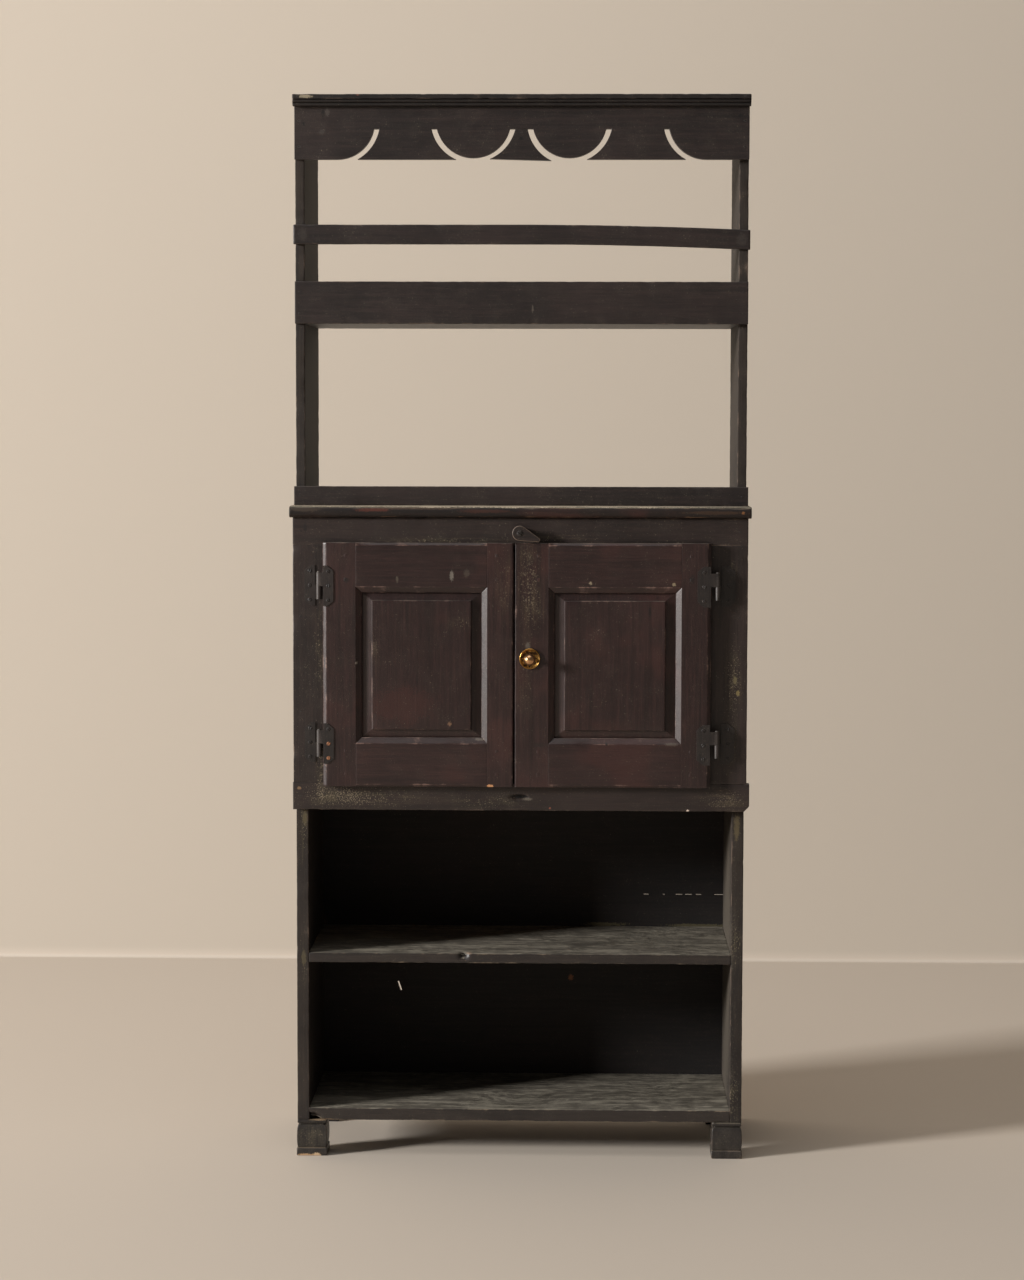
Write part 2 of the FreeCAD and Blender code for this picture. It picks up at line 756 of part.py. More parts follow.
def leaf_outline(near_x, far_x):
    """An H hinge's tall leaf: the two corners away from the barrel are sheared off."""
    inward = math.copysign(leaf_corner_side, near_x - far_x)
    half = leaf_height / 2.0
    return [(near_x, -half), (far_x + inward, -half), (far_x, -half + leaf_corner_end),
            (far_x, half - leaf_corner_end), (far_x + inward, half), (near_x, half)]


def knuckle(upper, bore):
    low, high = knuckle_span(upper)
    barrel = upright(flats(16, barrel_radius, 0, 0), low, high - low)
    return barrel, Part.makeCylinder(bore, high - low, V(0, 0, low))


def screw_spots(near_x, far_x):
    middle = (near_x + far_x) / 2.0
    return [(middle, step * screw_pitch) for step in (-1, 0, 1)]


def wood_screw(x, z, y):
    """Screw with its head on a face at y; it runs into the wood along +Y."""
    head = plate(flats(8, screw_head_radius, x, z), y - screw_head_thick, y)
    return head.fuse(plate(flats(4, screw_shank_radius, x, z), y, y + screw_length))


class Hinge:
    """A cranked H hinge about its pin, made for a door to the right of the pin and mirrored for the other."""

    def __init__(self, pin_x, z, offset, leaf_width, mirror):
        self.place = V(pin_x, hinge_y, z)
        self.mirror = mirror
        self.frame_y = face_y - hinge_y
        self.door_leaf_x = (offset + leaf_edge, offset + leaf_edge + leaf_width)
        near_x = -barrel_radius - leaf_barrel_gap
        self.frame_leaf_x = (near_x, near_x - leaf_width)

    def set_in_place(self, shape):
        shape = mirrored(shape) if self.mirror else shape
        shape.translate(self.place)
        return shape

    def frame_screws(self):
        y = self.frame_y - leaf_thick
        return [self.set_in_place(wood_screw(x, z, y)) for x, z in screw_spots(*self.frame_leaf_x)]

    def door_screws(self):
        return [self.set_in_place(wood_screw(x, z, -barrel_radius)) for x, z in screw_spots(*self.door_leaf_x)]

    def frame_leaf(self):
        """Flat on the face frame, then cranked forward to the lower half of the barrel."""
        low, high = knuckle_span(False)
        barrel, bore = knuckle(False, hinge_pin_radius)
        strap_x = -barrel_radius + leaf_thick
        crank = block(-barrel_radius, strap_x, 0, self.frame_y, low, high)
        near_x, far_x = self.frame_leaf_x
        tongue = block(near_x, strap_x, self.frame_y - leaf_thick, self.frame_y, low, high)
        leaf = plate(leaf_outline(near_x, far_x), self.frame_y - leaf_thick, self.frame_y)
        whole = barrel.multiFuse([crank, tongue, leaf]).removeSplitter().cut(bore)
        return self.drilled(self.set_in_place(whole), self.frame_screws())

    def door_leaf(self):
        """Flat on the door's face, with a tongue to the upper half of the barrel."""
        low, high = knuckle_span(True)
        barrel, bore = knuckle(True, hinge_pin_radius + hinge_pin_clearance)
        near_x, far_x = self.door_leaf_x
        tongue = block(0, near_x, -barrel_radius, -barrel_radius + leaf_thick, low, high)
        leaf = plate(leaf_outline(near_x, far_x), -barrel_radius, -barrel_radius + leaf_thick)
        whole = barrel.multiFuse([tongue, leaf]).removeSplitter().cut(bore)
        return self.drilled(self.set_in_place(whole), self.door_screws())

    def drilled(self, shape, screws):
        for screw in screws:
            shape = shape.cut(screw)
        return shape

    def pin(self):
        """Riveted in the frame leaf, with a small head over the door leaf's knuckle."""
        half = barrel_length / 2.0
        shank = Part.makeCylinder(hinge_pin_radius, barrel_length + barrel_gap, V(0, 0, -half))
        head = upright(flats(12, hinge_pin_head, 0, 0), half + barrel_gap, hinge_pin_head_thick)
        return self.set_in_place(shank.fuse(head))


hinges = {
    "upper_left": Hinge(left_pin_x, upper_hinge_z, left_hinge_offset, left_leaf_width, False),
    "lower_left": Hinge(left_pin_x, lower_hinge_z, left_hinge_offset, left_leaf_width, False),
    "upper_right": Hinge(right_pin_x, upper_hinge_z, right_hinge_offset, right_leaf_width, True),
    "lower_right": Hinge(right_pin_x, lower_hinge_z, right_hinge_offset, right_leaf_width, True),
}


# ---------------------------------------------------------------- knob and turn button

def turned(profile):
    """A small turned piece on the knob's axis, round to within a tenth of a millimetre: rings of flats
    joined through a profile of (radius, y) points from front to back."""
    rings = [[V(x, y, z) for x, z in flats(knob_flats, radius, knob_x, knob_z)] for radius, y in profile]
    outlines = [rings[0], rings[-1]]
    for near_ring, far_ring in zip(rings, rings[1:]):
        for i in range(knob_flats):
            j = (i + 1) % knob_flats
            outlines.append([near_ring[i], near_ring[j], far_ring[j], far_ring[i]])
    faces = [Part.Face(Part.makePolygon(corners + corners[:1])) for corners in outlines]
    return Part.Solid(Part.Shell(faces))


def knob_rose():
    """Round brass plate with a raised rim and a dished middle, bored for the knob's neck."""
    front = door_y - rose_thick
    half_rim = rose_rim / 2.0
    plate_body = turned([(rose_radius - half_rim, front), (rose_radius, front + half_rim), (rose_radius, door_y)])
    dish = turned([(rose_radius - half_rim, front), (rose_radius - rose_rim, front + half_rim),
                   (knob_neck_radius, front + rose_dish)])
    bore = turned([(knob_neck_radius, front), (knob_neck_radius, door_y)])
    return plate_body.cut(dish).cut(bore)


def knob():
    """Brass ball on a waisted neck, seated in the rose and held by a screw from behind."""
    front = door_y - knob_projection
    centre = front + knob_radius
    last = math.pi - math.asin(knob_neck_radius / knob_radius)
    profile = []
    for step in range(1, ball_rings + 1):
        angle = last * step / ball_rings
        profile.append((knob_radius * math.sin(angle), centre - knob_radius * math.cos(angle)))
    join = profile[-1][1]
    profile.append((knob_waist_radius, (join + door_y - rose_thick) / 2.0))
    profile.append((knob_neck_radius, door_y - rose_thick))
    profile.append((knob_neck_radius, door_y))
    return turned(profile).cut(knob_screw())


def knob_screw():
    back = face_y - door_stand
    shank = plate(flats(8, knob_screw_radius, knob_x, knob_z), door_y - knob_screw_bite, back)
    head = plate(flats(12, knob_screw_head, knob_x, knob_z), back - knob_screw_head_thick, back)
    return shank.fuse(head).removeSplitter()


button_back_y = door_y - button_door_gap
button_front_y = button_back_y - button_thick


def turn_button():
    """Tear-shaped block on a round boss; its boss turns against the rail and its tip clears the doors."""
    spread = math.acos((button_head_radius - button_tip_radius) / button_length)
    cos, sin = math.cos(spread), math.sin(spread)
    y0, y1 = button_front_y, button_back_y
    big, small, reach = button_head_radius, button_tip_radius, button_length
    edges = [
        arc((big * cos, y0, big * sin), (-big, y0, 0), (big * cos, y0, -big * sin)),
        line((big * cos, y0, -big * sin), (reach + small * cos, y0, -small * sin)),
        arc((reach + small * cos, y0, -small * sin), (reach + small, y0, 0), (reach + small * cos, y0, small * sin)),
        line((reach + small * cos, y0, small * sin), (big * cos, y0, big * sin)),
    ]
    blade = Part.Face(Part.Wire(edges)).extrude(V(0, y1 - y0, 0))
    boss = plate(flats(20, button_boss_radius, 0, 0), y0, face_y - button_seat)
    bore = disc(button_screw_radius + button_screw_clearance, 0, 0, y0, face_y)
    button = blade.fuse(boss).removeSplitter().cut(bore)
    button.rotate(V(0, 0, 0), V(0, 1, 0), -button_rest)
    button.translate(V(0, 0, button_z))
    return button


def turn_button_screw():
    """Round-headed screw that the button turns on, driven into the top rail."""
    head_y = button_front_y - button_screw_gap
    head = plate(flats(16, button_screw_head, 0, button_z), head_y - button_screw_head_thick, head_y)
    shank = disc(button_screw_radius, 0, button_z, head_y, face_y + button_screw_bite)
    return head.fuse(shank)


# ---------------------------------------------------------------- nails

def cut_nail(x, y, z, heading):
    """Square cut brad, flush at the given point and driven along +Y, -Y, +Z or -Z."""
    nail = block(-nail_wide / 2.0, nail_wide / 2.0, 0, nail_length, -nail_narrow / 2.0, nail_narrow / 2.0)
    turn = {"+Y": 0, "-Y": 180, "+Z": 90, "-Z": -90}[heading]
    nail.rotate(V(0, 0, 0), V(1, 0, 0), turn)
    nail.translate(V(x, y, z))
    return nail


def patch_nail():
    """Thin nail that holds the broken fret, driven upwards at a slant across the crack."""
    nail = block(-nail_narrow / 2.0, nail_narrow / 2.0, 0, patch_nail_length, -nail_narrow / 2.0, nail_narrow / 2.0)
    nail.rotate(V(0, 0, 0), V(1, 0, 0), 45)
    nail.translate(V(0, rack_face_y, slot_top_z - front_board_thick / 2.0))
    return nail.common(front_board(frieze_z, rack_top))


def all_nails():
    """Every nail with the names of the pieces that it passes through."""
    nails = []
    for side, word in ((-1, "left"), (1, "right")):
        x = side * (half_rack - nail_inset)
        upright = "rack_side_" + word
        droop = plate_rail_droop if side > 0 else 0.0
        for z in [frieze_z + frieze_height * share for share in frieze_nails]:
            nails.append((cut_nail(x, rack_face_y, z, "+Y"), ["frieze_board", upright]))
        for z in [rack_shelf_z + guard_height * share for share in guard_nails]:
            nails.append((cut_nail(x, rack_face_y, z, "+Y"), ["plate_guard", upright, "rack_shelf"]))
        z = (plate_rail_z + plate_rail_top) / 2.0 - droop
        nails.append((cut_nail(x, rack_y - plate_rail_thick, z, "+Y"), ["plate_rail", upright]))
        z = deck_top + rack_bottom_rail_height / 2.0
        nails.append((cut_nail(x, rack_face_y, z, "+Y"), ["rack_bottom_rail", upright]))
        z = rack_top - cornice_fillet / 2.0
        nails.append((cut_nail(x, rack_face_y - cornice_projection, z, "+Y"),
                      ["cornice", "frieze_board", "rack_top_board"]))

        x = side * side_mid_x
        case_side_name = "case_side_" + word
        stile = "face_stile_" + word
        for z in (opening_top + top_rail_height / 2.0, floor_top - bottom_rail_height / 2.0):
            nails.append((cut_nail(x, face_y, z, "+Y"),
                          ["face_top_rail", "face_bottom_rail", stile, case_side_name, "cupboard_floor"]))
        for share in stile_nails:
            nails.append((cut_nail(x, face_y, floor_top + door_opening * share, "+Y"), [stile, case_side_name]))
        for name, low, high in (("back_board_lower", bottom_shelf_z, lower_back_top),
                                ("back_board_middle", lower_back_top, middle_back_top),
                                ("back_board_upper", middle_back_top, deck_z)):
            for share in board_nails:
                z = low + (high - low) * share
                nails.append((cut_nail(x, back_y, z, "-Y"), [name, case_side_name]))
        for share in deck_nails:
            y = carcass_y + (back_inner_y - carcass_y) * share
            nails.append((cut_nail(x, y, deck_top, "-Z"), ["deck_board", case_side_name]))
        x = side * (half_rack - rack_side_thick / 2.0)
        for share in board_nails:
            y = rack_y + (back_y - rack_y) * share
            nails.append((cut_nail(x, y, deck_z, "+Z"), ["deck_board", upright]))
            nails.append((cut_nail(x, y, rack_top, "-Z"), ["rack_top_board", upright]))
    nails.append((patch_nail(), ["frieze_board", "frieze_patch"]))
    return nails


# ---------------------------------------------------------------- assembly

pieces = {
    "cornice": cornice(),
    "rack_top_board": rack_top_board(),
    "frieze_board": frieze_board(),
    "frieze_patch": frieze_patch(),
    "rack_side_left": mirrored(rack_side()),
    "rack_side_right": rack_side(),
    "plate_rail": plate_rail(),
    "plate_guard": front_board(rack_shelf_z, guard_top),
    "rack_shelf": rack_shelf(),
    "rack_bottom_rail": front_board(deck_top, deck_top + rack_bottom_rail_height, rack_bottom_rail_overhang),
    "deck_board": deck_board(),
    "face_top_rail": face_top_rail(),
    "face_bottom_rail": face_bottom_rail(),
    "face_stile_left": face_stile(*left_stile_x),
    "face_stile_right": face_stile(*right_stile_x),
    "case_side_left": mirrored(case_side()),
    "case_side_right": case_side(),
    "cupboard_floor": cupboard_floor(),
    "cupboard_shelf": cupboard_shelf(),
    "shelf_cleats": shelf_cleats(),
    "mid_shelf": open_shelf(mid_shelf_z, mid_shelf_top),
    "bottom_shelf": open_shelf(bottom_shelf_z, bottom_shelf_top),
    "back_board_lower": back_board_lower(),
    "back_board_middle": back_board(lower_back_top, middle_back_top),
    "back_board_upper": back_board(middle_back_top, deck_z),
    "foot_front_left": foot(-1, front_foot_y),
    "foot_front_right": foot(1, front_foot_y),
    "foot_back_left": foot(-1, back_foot_y),
    "foot_back_right": foot(1, back_foot_y),
    "knob_rose": knob_rose(),
    "knob": knob(),
    "knob_screw": knob_screw(),
    "turn_button": turn_button(),
    "turn_button_screw": turn_button_screw(),
}
for side, door in (("left", left_door), ("right", right_door)):
    for name, shape in door.pieces().items():
        pieces[side + "_door_" + name] = shape
for name, hinge in hinges.items():
    pieces[name + "_hinge_frame_leaf"] = hinge.frame_leaf()
    pieces[name + "_hinge_door_leaf"] = hinge.door_leaf()
pieces["hinge_pins"] = Part.makeCompound([hinge.pin() for hinge in hinges.values()])

# Screws, and their pilot holes in the wood behind them
frame_screws = []
door_screws = {"left": [], "right": []}
for name, hinge in hinges.items():
    side = name.split("_")[1]
    frame_screws += hinge.frame_screws()
    door_screws[side] += hinge.door_screws()
    for screw in hinge.frame_screws():
        pieces["face_stile_" + side] = pieces["face_stile_" + side].cut(screw)
    for screw in hinge.door_screws():
        for wood in (side + "_door_hinge_stile", side + "_door_top_rail", side + "_door_bottom_rail"):
            pieces[wood] = pieces[wood].cut(screw)
pieces["frame_hinge_screws"] = Part.makeCompound(frame_screws)
pieces["left_door_hinge_screws"] = Part.makeCompound(door_screws["left"])
pieces["right_door_hinge_screws"] = Part.makeCompound(door_screws["right"])
pieces["right_door_lock_stile"] = pieces["right_door_lock_stile"].cut(pieces["knob_screw"])
pieces["face_top_rail"] = pieces["face_top_rail"].cut(pieces["turn_button_screw"])

nails = []
for nail, names in all_nails():
    nails.append(nail)
    for name in names:
        pieces[name] = pieces[name].cut(nail)
pieces["cut_nails"] = Part.makeCompound(nails)

os.makedirs("parts", exist_ok=True)
for name, shape in pieces.items():
    shape.exportStep("parts/" + name + ".step")
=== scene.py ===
import math

import bmesh
import bpy
import numpy as np
from mathutils import Matrix, Vector


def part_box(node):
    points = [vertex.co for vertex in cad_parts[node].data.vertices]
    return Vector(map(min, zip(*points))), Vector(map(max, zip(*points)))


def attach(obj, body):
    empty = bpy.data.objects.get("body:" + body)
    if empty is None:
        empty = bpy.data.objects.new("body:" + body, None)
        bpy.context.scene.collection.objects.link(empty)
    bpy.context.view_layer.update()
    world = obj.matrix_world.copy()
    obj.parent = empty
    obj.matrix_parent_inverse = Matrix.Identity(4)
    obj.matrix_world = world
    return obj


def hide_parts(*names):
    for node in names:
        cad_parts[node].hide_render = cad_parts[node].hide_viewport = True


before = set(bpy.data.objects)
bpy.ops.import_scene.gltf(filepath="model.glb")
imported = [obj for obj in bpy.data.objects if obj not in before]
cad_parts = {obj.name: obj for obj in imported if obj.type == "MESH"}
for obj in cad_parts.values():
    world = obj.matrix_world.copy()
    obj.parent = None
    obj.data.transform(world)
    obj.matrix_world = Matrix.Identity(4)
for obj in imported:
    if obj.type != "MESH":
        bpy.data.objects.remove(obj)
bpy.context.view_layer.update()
mm = 0.001


# The camera stands five metres back, at chest height and a little right of the middle.
# It looks slightly down and to the left, and is held a tenth of a degree off level.
into_scene = bpy.context.scene.collection.objects.link
camera = bpy.data.objects.new("camera", bpy.data.cameras.new("camera"))
into_scene(camera)
bpy.context.scene.camera = camera
camera.data.sensor_fit = "VERTICAL"
camera.data.sensor_height = 36
camera.data.lens = 82.97
camera.matrix_world = (Matrix.Translation((0.1079, -5.2192, 1.2961))
                       @ Matrix.Rotation(math.radians(1.369), 4, "Z")
                       @ Matrix.Rotation(math.radians(90 - 4.306), 4, "X")
                       @ Matrix.Rotation(math.radians(0.116), 4, "Z"))


# Feet: four blocks of pine with a cap, a groove, a rounded body and a base band worked on all four
# faces, nailed under the corners of the case. The front left one has broken away along the floor.
class Tone:
    """One socket of a finish: sums and products of tones add Math nodes, node() adds any other."""

    def __init__(self, tree, socket=None):
        self.tree, self.socket = tree, socket

    def node(self, kind, settings=None, inputs=None, output=0):
        made = self.tree.nodes.new("ShaderNode" + kind)
        for key, value in (settings or {}).items():
            setattr(made, key, value)
        for key, value in (inputs or {}).items():
            if isinstance(value, Tone):
                self.tree.links.new(value.socket, made.inputs[key])
            else:
                made.inputs[key].default_value = value
        return Tone(self.tree, made.outputs[output])

    def maths(self, operation, first, second):
        return self.node("Math", {"operation": operation}, {0: first, 1: second})

    def __add__(self, other):
        return self.maths("ADD", self, other)

    __radd__ = __add__

    def __sub__(self, other):
        return self.maths("SUBTRACT", self, other)

    def __rsub__(self, other):
        return self.maths("SUBTRACT", other, self)

    def __mul__(self, other):
        return self.maths("MULTIPLY", self, other)

    __rmul__ = __mul__

    def fade(self, low, high):
        """0 where this is low, 1 where it is high, with a soft step between."""
        return self.node("MapRange", {"interpolation_type": "SMOOTHSTEP"}, {0: self, 1: low, 2: high})

    def stretched(self, x, y, z):
        return self.node("VectorMath", {"operation": "MULTIPLY"}, {0: self, 1: (x, y, z)})

    def moved(self, offset):
        return self.node("VectorMath", {"operation": "ADD"}, {0: self, 1: offset})

    def noise(self, scale, detail=3, rough=0.55):
        settings = {"Vector": self, "Scale": scale, "Detail": detail, "Roughness": rough}
        return self.node("TexNoise", None, settings)

    def between(self, low, high):
        """A colour that goes from low to high as this goes from 0 to 1."""
        return self.node("Mix", {"data_type": "RGBA"}, {0: self, 6: low, 7: high}, 2)

    def over(self, mask, colour):
        """This colour, covered with another one where the mask is 1."""
        return mask.between(self, colour)

    def length(self):
        return self.node("VectorMath", {"operation": "LENGTH"}, {0: self}, 1)

    def bump(self, strength, distance):
        return self.node("Bump", None, {"Strength": strength, "Distance": distance, "Height": self})

    def spot(self, centre, radii, ragged, outer=1.15, inner=0.75):
        """1 in a ragged patch around a place, given in millimetres with its radii, and 0 outside it."""
        away = self.moved(tuple(-c * mm for c in centre)).stretched(*(1 / (r * mm) for r in radii))
        return (away.length() + ragged).fade(outer, inner)


def start_finish(name):
    """A new material, each point's place on the cupboard as its first tone, and its surface shader."""
    material = bpy.data.materials.new(name)
    material.use_nodes = True
    place = Tone(material.node_tree).node("TexCoord", output=3)
    return material, place, material.node_tree.nodes["Principled BSDF"]


def wire(shader, **sockets):
    """Links a tone to each named socket of a surface shader."""
    for name, tone in sockets.items():
        tone.tree.links.new(tone.socket, shader.inputs[name.replace("_", " ")])


def facing(tone, axis):
    """1 where the surface faces along an axis, of number 0, 1 or 2, and 0 where it faces elsewhere."""
    normal = tone.node("NewGeometry", output=1)
    return tone.node("SeparateXYZ", None, {0: normal}, axis).fade(0.6, 0.95)


def seen(red, green, blue, share=1):
    """The light that a display's colour, 0 to 255, stands for, times a share, and at most white."""
    c = np.array([red, green, blue]) / 255
    linear = np.where(c <= 0.04045, c / 12.92, ((c + 0.055) / 1.055) ** 2.4)
    return (*np.minimum(linear * share, 1).tolist(), 1.0)


def marks(node, *rows):
    """Marks on a node's front, 14 mm deep, in millimetres: each row is x, z, half width and half height,
    then a colour and its strength, or the strength alone."""
    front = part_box(node)[0].y / mm
    return [((x, front, z), (wide, 14, high), *rest) for x, z, wide, high, *rest in rows]


olive_dust, grey_dust = (124, 114, 80), (124, 115, 100)


def old_paint(name, deep, warm, rub=(88, 74, 64), dust=0.4, film=0.05, specks=0.5, shine=0.33,
              gloss=0.56, along=None, spots=(), spatter=(), scoured=0, edge=0.4, red=0, bare_back=False):
    """Thin old paint on pine. Deep and warm are its two tones and rub is the wood at worn arrises, as a
    display shows them. Film is dust all over, dust what lies on tops, scoured the share of a top that
    has been rubbed grey along the grain. Spots are single marks, spatter is where more specks fell.
    The grain comes from the piece's own attribute, or along an axis of the room. A bare back is brown
    pine on rearward faces."""
    material, place, shader = start_finish(name)
    slim = 0.04  # width of the grain's figure over its length
    if along is None:
        grain = place.node("Attribute", {"attribute_name": "grain"}, output=1)
        arris = place.node("Attribute", {"attribute_name": "arris"}, output=2)
        drawn = grain.stretched(slim, 1, 1)
    else:
        grain = place
        drawn = grain.stretched(*(slim if axis == along else 1 for axis in "xyz"))
    hairs, streaks, figure = drawn.noise(820, 3, 0.7), drawn.noise(240, 4, 0.65), drawn.noise(90, 3, 0.55)
    clouds, patches, grit = grain.noise(4.5, 3, 0.6), grain.noise(31, 5, 0.68), grain.noise(430, 3, 0.7)

    # The coat: two tones in clouds, red where an older coat shows, lighter and darker along the grain.
    colour = clouds.fade(0.38, 0.62).between(seen(*deep), seen(*warm))
    if red:
        older = (clouds * 0.4 + grain.noise(9, 3, 0.6) * 0.6).fade(0.5, 0.62) * red
        colour = colour.over(older, seen(78, 38, 32))
    for mask, shade in (
            (streaks.fade(0.46, 0.66) * 0.45, seen(*warm, 1.5)),
            (hairs.fade(0.56, 0.68) * 0.28, seen(*warm, 2.3)),
            (hairs.fade(0.44, 0.36) * 0.4, seen(*deep, 0.3)),
            (figure.fade(0.55, 0.66) * 0.45, seen(*deep, 0.45)),
            ((patches * 0.6 + grit * 0.5).fade(0.5, 0.75) * film, seen(*grey_dust))):
        colour = colour.over(mask, shade)

    # What fell on it: an olive tint and specks, which lie closer inside the spatter.
    fallen = 0
    for centre, radii, strength in spatter:
        fallen = fallen + place.spot(centre, radii, (patches - 0.5) * 2.2, 1.6, 0.1) * strength
    specked = (grit + fallen * 0.12 + patches * 0.24).fade(0.8, 0.84) * specks
    colour = colour.over(fallen * (streaks * 0.5 + patches * 0.6).fade(0.5, 0.7) * 0.2, seen(*olive_dust))
    colour = colour.over(specked, seen(140, 128, 106))

    # Wear: rubbed arrises and chips. Along the very edge of a rubbed arris a paler line is painted: barer
    # wood, and also a painted highlight.
    chips = (patches * 0.65 + grit * 0.35).fade(0.665, 0.685)
    if along is None:
        rubbed = ((patches - 0.44) * 0.012 - arris).fade(0, 0.0012)
        # painted highlight along the arris, as well as the barest wood
        edge_wear_and_highlight = ((patches - 0.53) * 0.012 - arris).fade(0, 0.0005)
        colour = colour.over(rubbed * edge, seen(*rub)).over(edge_wear_and_highlight * edge, seen(*rub, 1.9))
    colour = colour.over(chips * 0.3, seen(*rub))

    # Tops: scoured grey in drifts along the grain, then dusty.
    upward = facing(place, 2)
    soil = upward * (clouds * 0.4 + patches * 0.6 + grit * 0.2).fade(0.4, 0.8)
    if scoured:
        drift = grain.moved((grain.noise(3.2, 2, 0.5) - 0.5) * 0.11)
        swept = drift.stretched(0.09, 1, 1).noise(60, 6, 0.72) * 0.7 + patches * 0.3
        scratch = drift.stretched(0.05, 1, 1).noise(330, 3, 0.7)
        for mask, shade in (
                (scoured * 0.75, seen(100, 94, 84)),
                (swept.fade(0.47, 0.6) * scoured * 0.6, seen(166, 158, 142)),
                (scratch.fade(0.54, 0.64) * scoured * 0.65, seen(196, 188, 168)),
                (scratch.fade(0.46, 0.38) * 0.4, seen(48, 45, 41)),
                (patches.fade(0.42, 0.34) * 0.3, seen(48, 45, 41))):
            colour = colour.over(upward * mask, shade)
    colour = colour.over(soil * dust, seen(*grey_dust))
    if bare_back:
        pine = clouds.fade(0.35, 0.65).between(seen(84, 64, 46), seen(112, 86, 62))
        pine = pine.over(figure.fade(0.5, 0.6) * 0.5, seen(62, 42, 30))
        pine = pine.over(patches.fade(0.55, 0.7) * 0.4, seen(60, 52, 44))
        colour = colour.over(facing(place, 1), pine.over(hairs.fade(0.5, 0.68) * 0.35, seen(136, 112, 86)))

    ragged = (patches - 0.5) * 1.7 + (grit - 0.5) * 2.6
    for centre, radii, shade, strength in spots:
        colour = colour.over(place.spot(centre, radii, ragged) * strength, seen(*shade))
    rough = shine + clouds * 0.10 + soil * 0.35 + hairs * 0.08 + patches * 0.06
    height = hairs * 0.35 + streaks * 0.5 + figure * 0.4 + patches * 0.9 + grit * 0.45 - chips * 0.8
    wire(shader, Base_Color=colour, Roughness=rough, Normal=height.bump(0.28, 0.0011))
    shader.inputs["Specular IOR Level"].default_value = gloss
    return material


never_worn = 20 * mm  # at this distance from an arris, no paint is rubbed off


def section(corners, arris, step=12 * mm):
    """Cross-section of a stick: a polygon, anticlockwise, with each corner drawn to a short curve,
    (1-s)^2 start + 2s(1-s) corner + s^2 stop. Also gives each point's distance to the nearest corner
    that is open to wear, of more than a tenth of a millimetre, and the nearest corner's number."""
    corners = np.array(corners, float)
    arris = np.broadcast_to(np.array(arris, float), len(corners))[:, None]
    sheltered = np.where(arris[:, 0] > 0.11 * mm, 0, never_worn)
    after = np.roll(corners, -1, 0) - corners
    after /= np.linalg.norm(after, axis=1)[:, None]
    start, stop = corners - np.roll(after, 1, 0) * arris, corners + after * arris
    points, gaps, lanes = [], [], []
    for k, corner in enumerate(corners):
        s = np.linspace(0, 1, 4 if arris[k] < 3 * mm else 9)[:, None]
        points.append((1 - s) ** 2 * start[k] + 2 * s * (1 - s) * corner + s ** 2 * stop[k])
        gaps.append(np.abs(s[:, 0] - 0.5) * 1.6 * arris[k] + sheltered[k])
        lanes.append(np.full(len(s), k))
        run = np.linalg.norm(np.roll(start, -1, 0)[k] - stop[k])
        near = min(1.2 * mm, run / 4)
        d = np.linspace(near, run - near, max(2, int(run / step) + 1))
        points.append(stop[k] + after[k] * d[:, None])
        past = 0.8 * arris[:, 0] + sheltered
        gaps.append(np.minimum(d + past[k], run - d + np.roll(past, -1)[k]))
        lanes.append(np.where(d < run / 2, k, (k + 1) % len(corners)))
    return np.vstack(points), np.concatenate(gaps), np.concatenate(lanes)


def joined_rings(points):
    """Faces between rings of points, rows by columns, with a cap at each end."""
    rows, count = points.shape[:2]
    index = np.arange(rows * count).reshape(rows, count)
    beside = np.roll(index, -1, 1)
    quads = np.stack([index[:-1], beside[:-1], beside[1:], index[1:]], -1).reshape(-1, 4)
    return quads.tolist() + [index[0].tolist(), index[-1].tolist()]


def note(mesh, arris, grain):
    """Keeps each point's distance to an arris, and its place in the grain, where the paint reads them."""
    fields = (("arris", "FLOAT", "value", arris), ("grain", "FLOAT_VECTOR", "vector", grain))
    for field, kind, key, values in fields:
        values = np.asarray(values, np.float32).ravel()
        mesh.attributes.new(field, kind, "POINT").data.foreach_set(key, values)


def make_piece(name, shells, material, node, body="cabinet"):
    """Joins closed shells into one piece, turns their faces outwards and hangs it on its body."""
    points, faces, first = [], [], 0
    for shell in shells:
        points.append(shell["points"])
        faces += [[i + first for i in face] for face in shell["faces"]]
        first += len(shell["points"])
    mesh = bpy.data.meshes.new(name)
    mesh.from_pydata(np.vstack(points).tolist(), [], faces)
    note(mesh, *(np.concatenate([shell[field] for shell in shells]) for field in ("arris", "grain")))
    shape = bmesh.new()
    shape.from_mesh(mesh)
    bmesh.ops.remove_doubles(shape, verts=shape.verts, dist=1e-6)
    bmesh.ops.recalc_face_normals(shape, faces=shape.faces)
    shape.to_mesh(mesh)
    shape.free()
    mesh.shade_smooth()
    mesh.set_sharp_from_angle(angle=math.radians(50))
    return hang(name, mesh, [material], node, body)


def hang(name, mesh, materials, node, body):
    """A mesh as a piece that rides on a body and stands for a CAD node."""
    piece = bpy.data.objects.new(name, mesh)
    into_scene(piece)
    for material in materials:
        mesh.materials.append(material)
    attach(piece, body)
    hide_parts(node)
    return piece


def own_place(seed):
    """Where in the pattern of the grain a piece lies, so that no two look alike."""
    return np.random.default_rng(seed).uniform(-3, 3, 3)


square = np.array([(-1, -1), (1, -1), (1, 1), (-1, 1)])


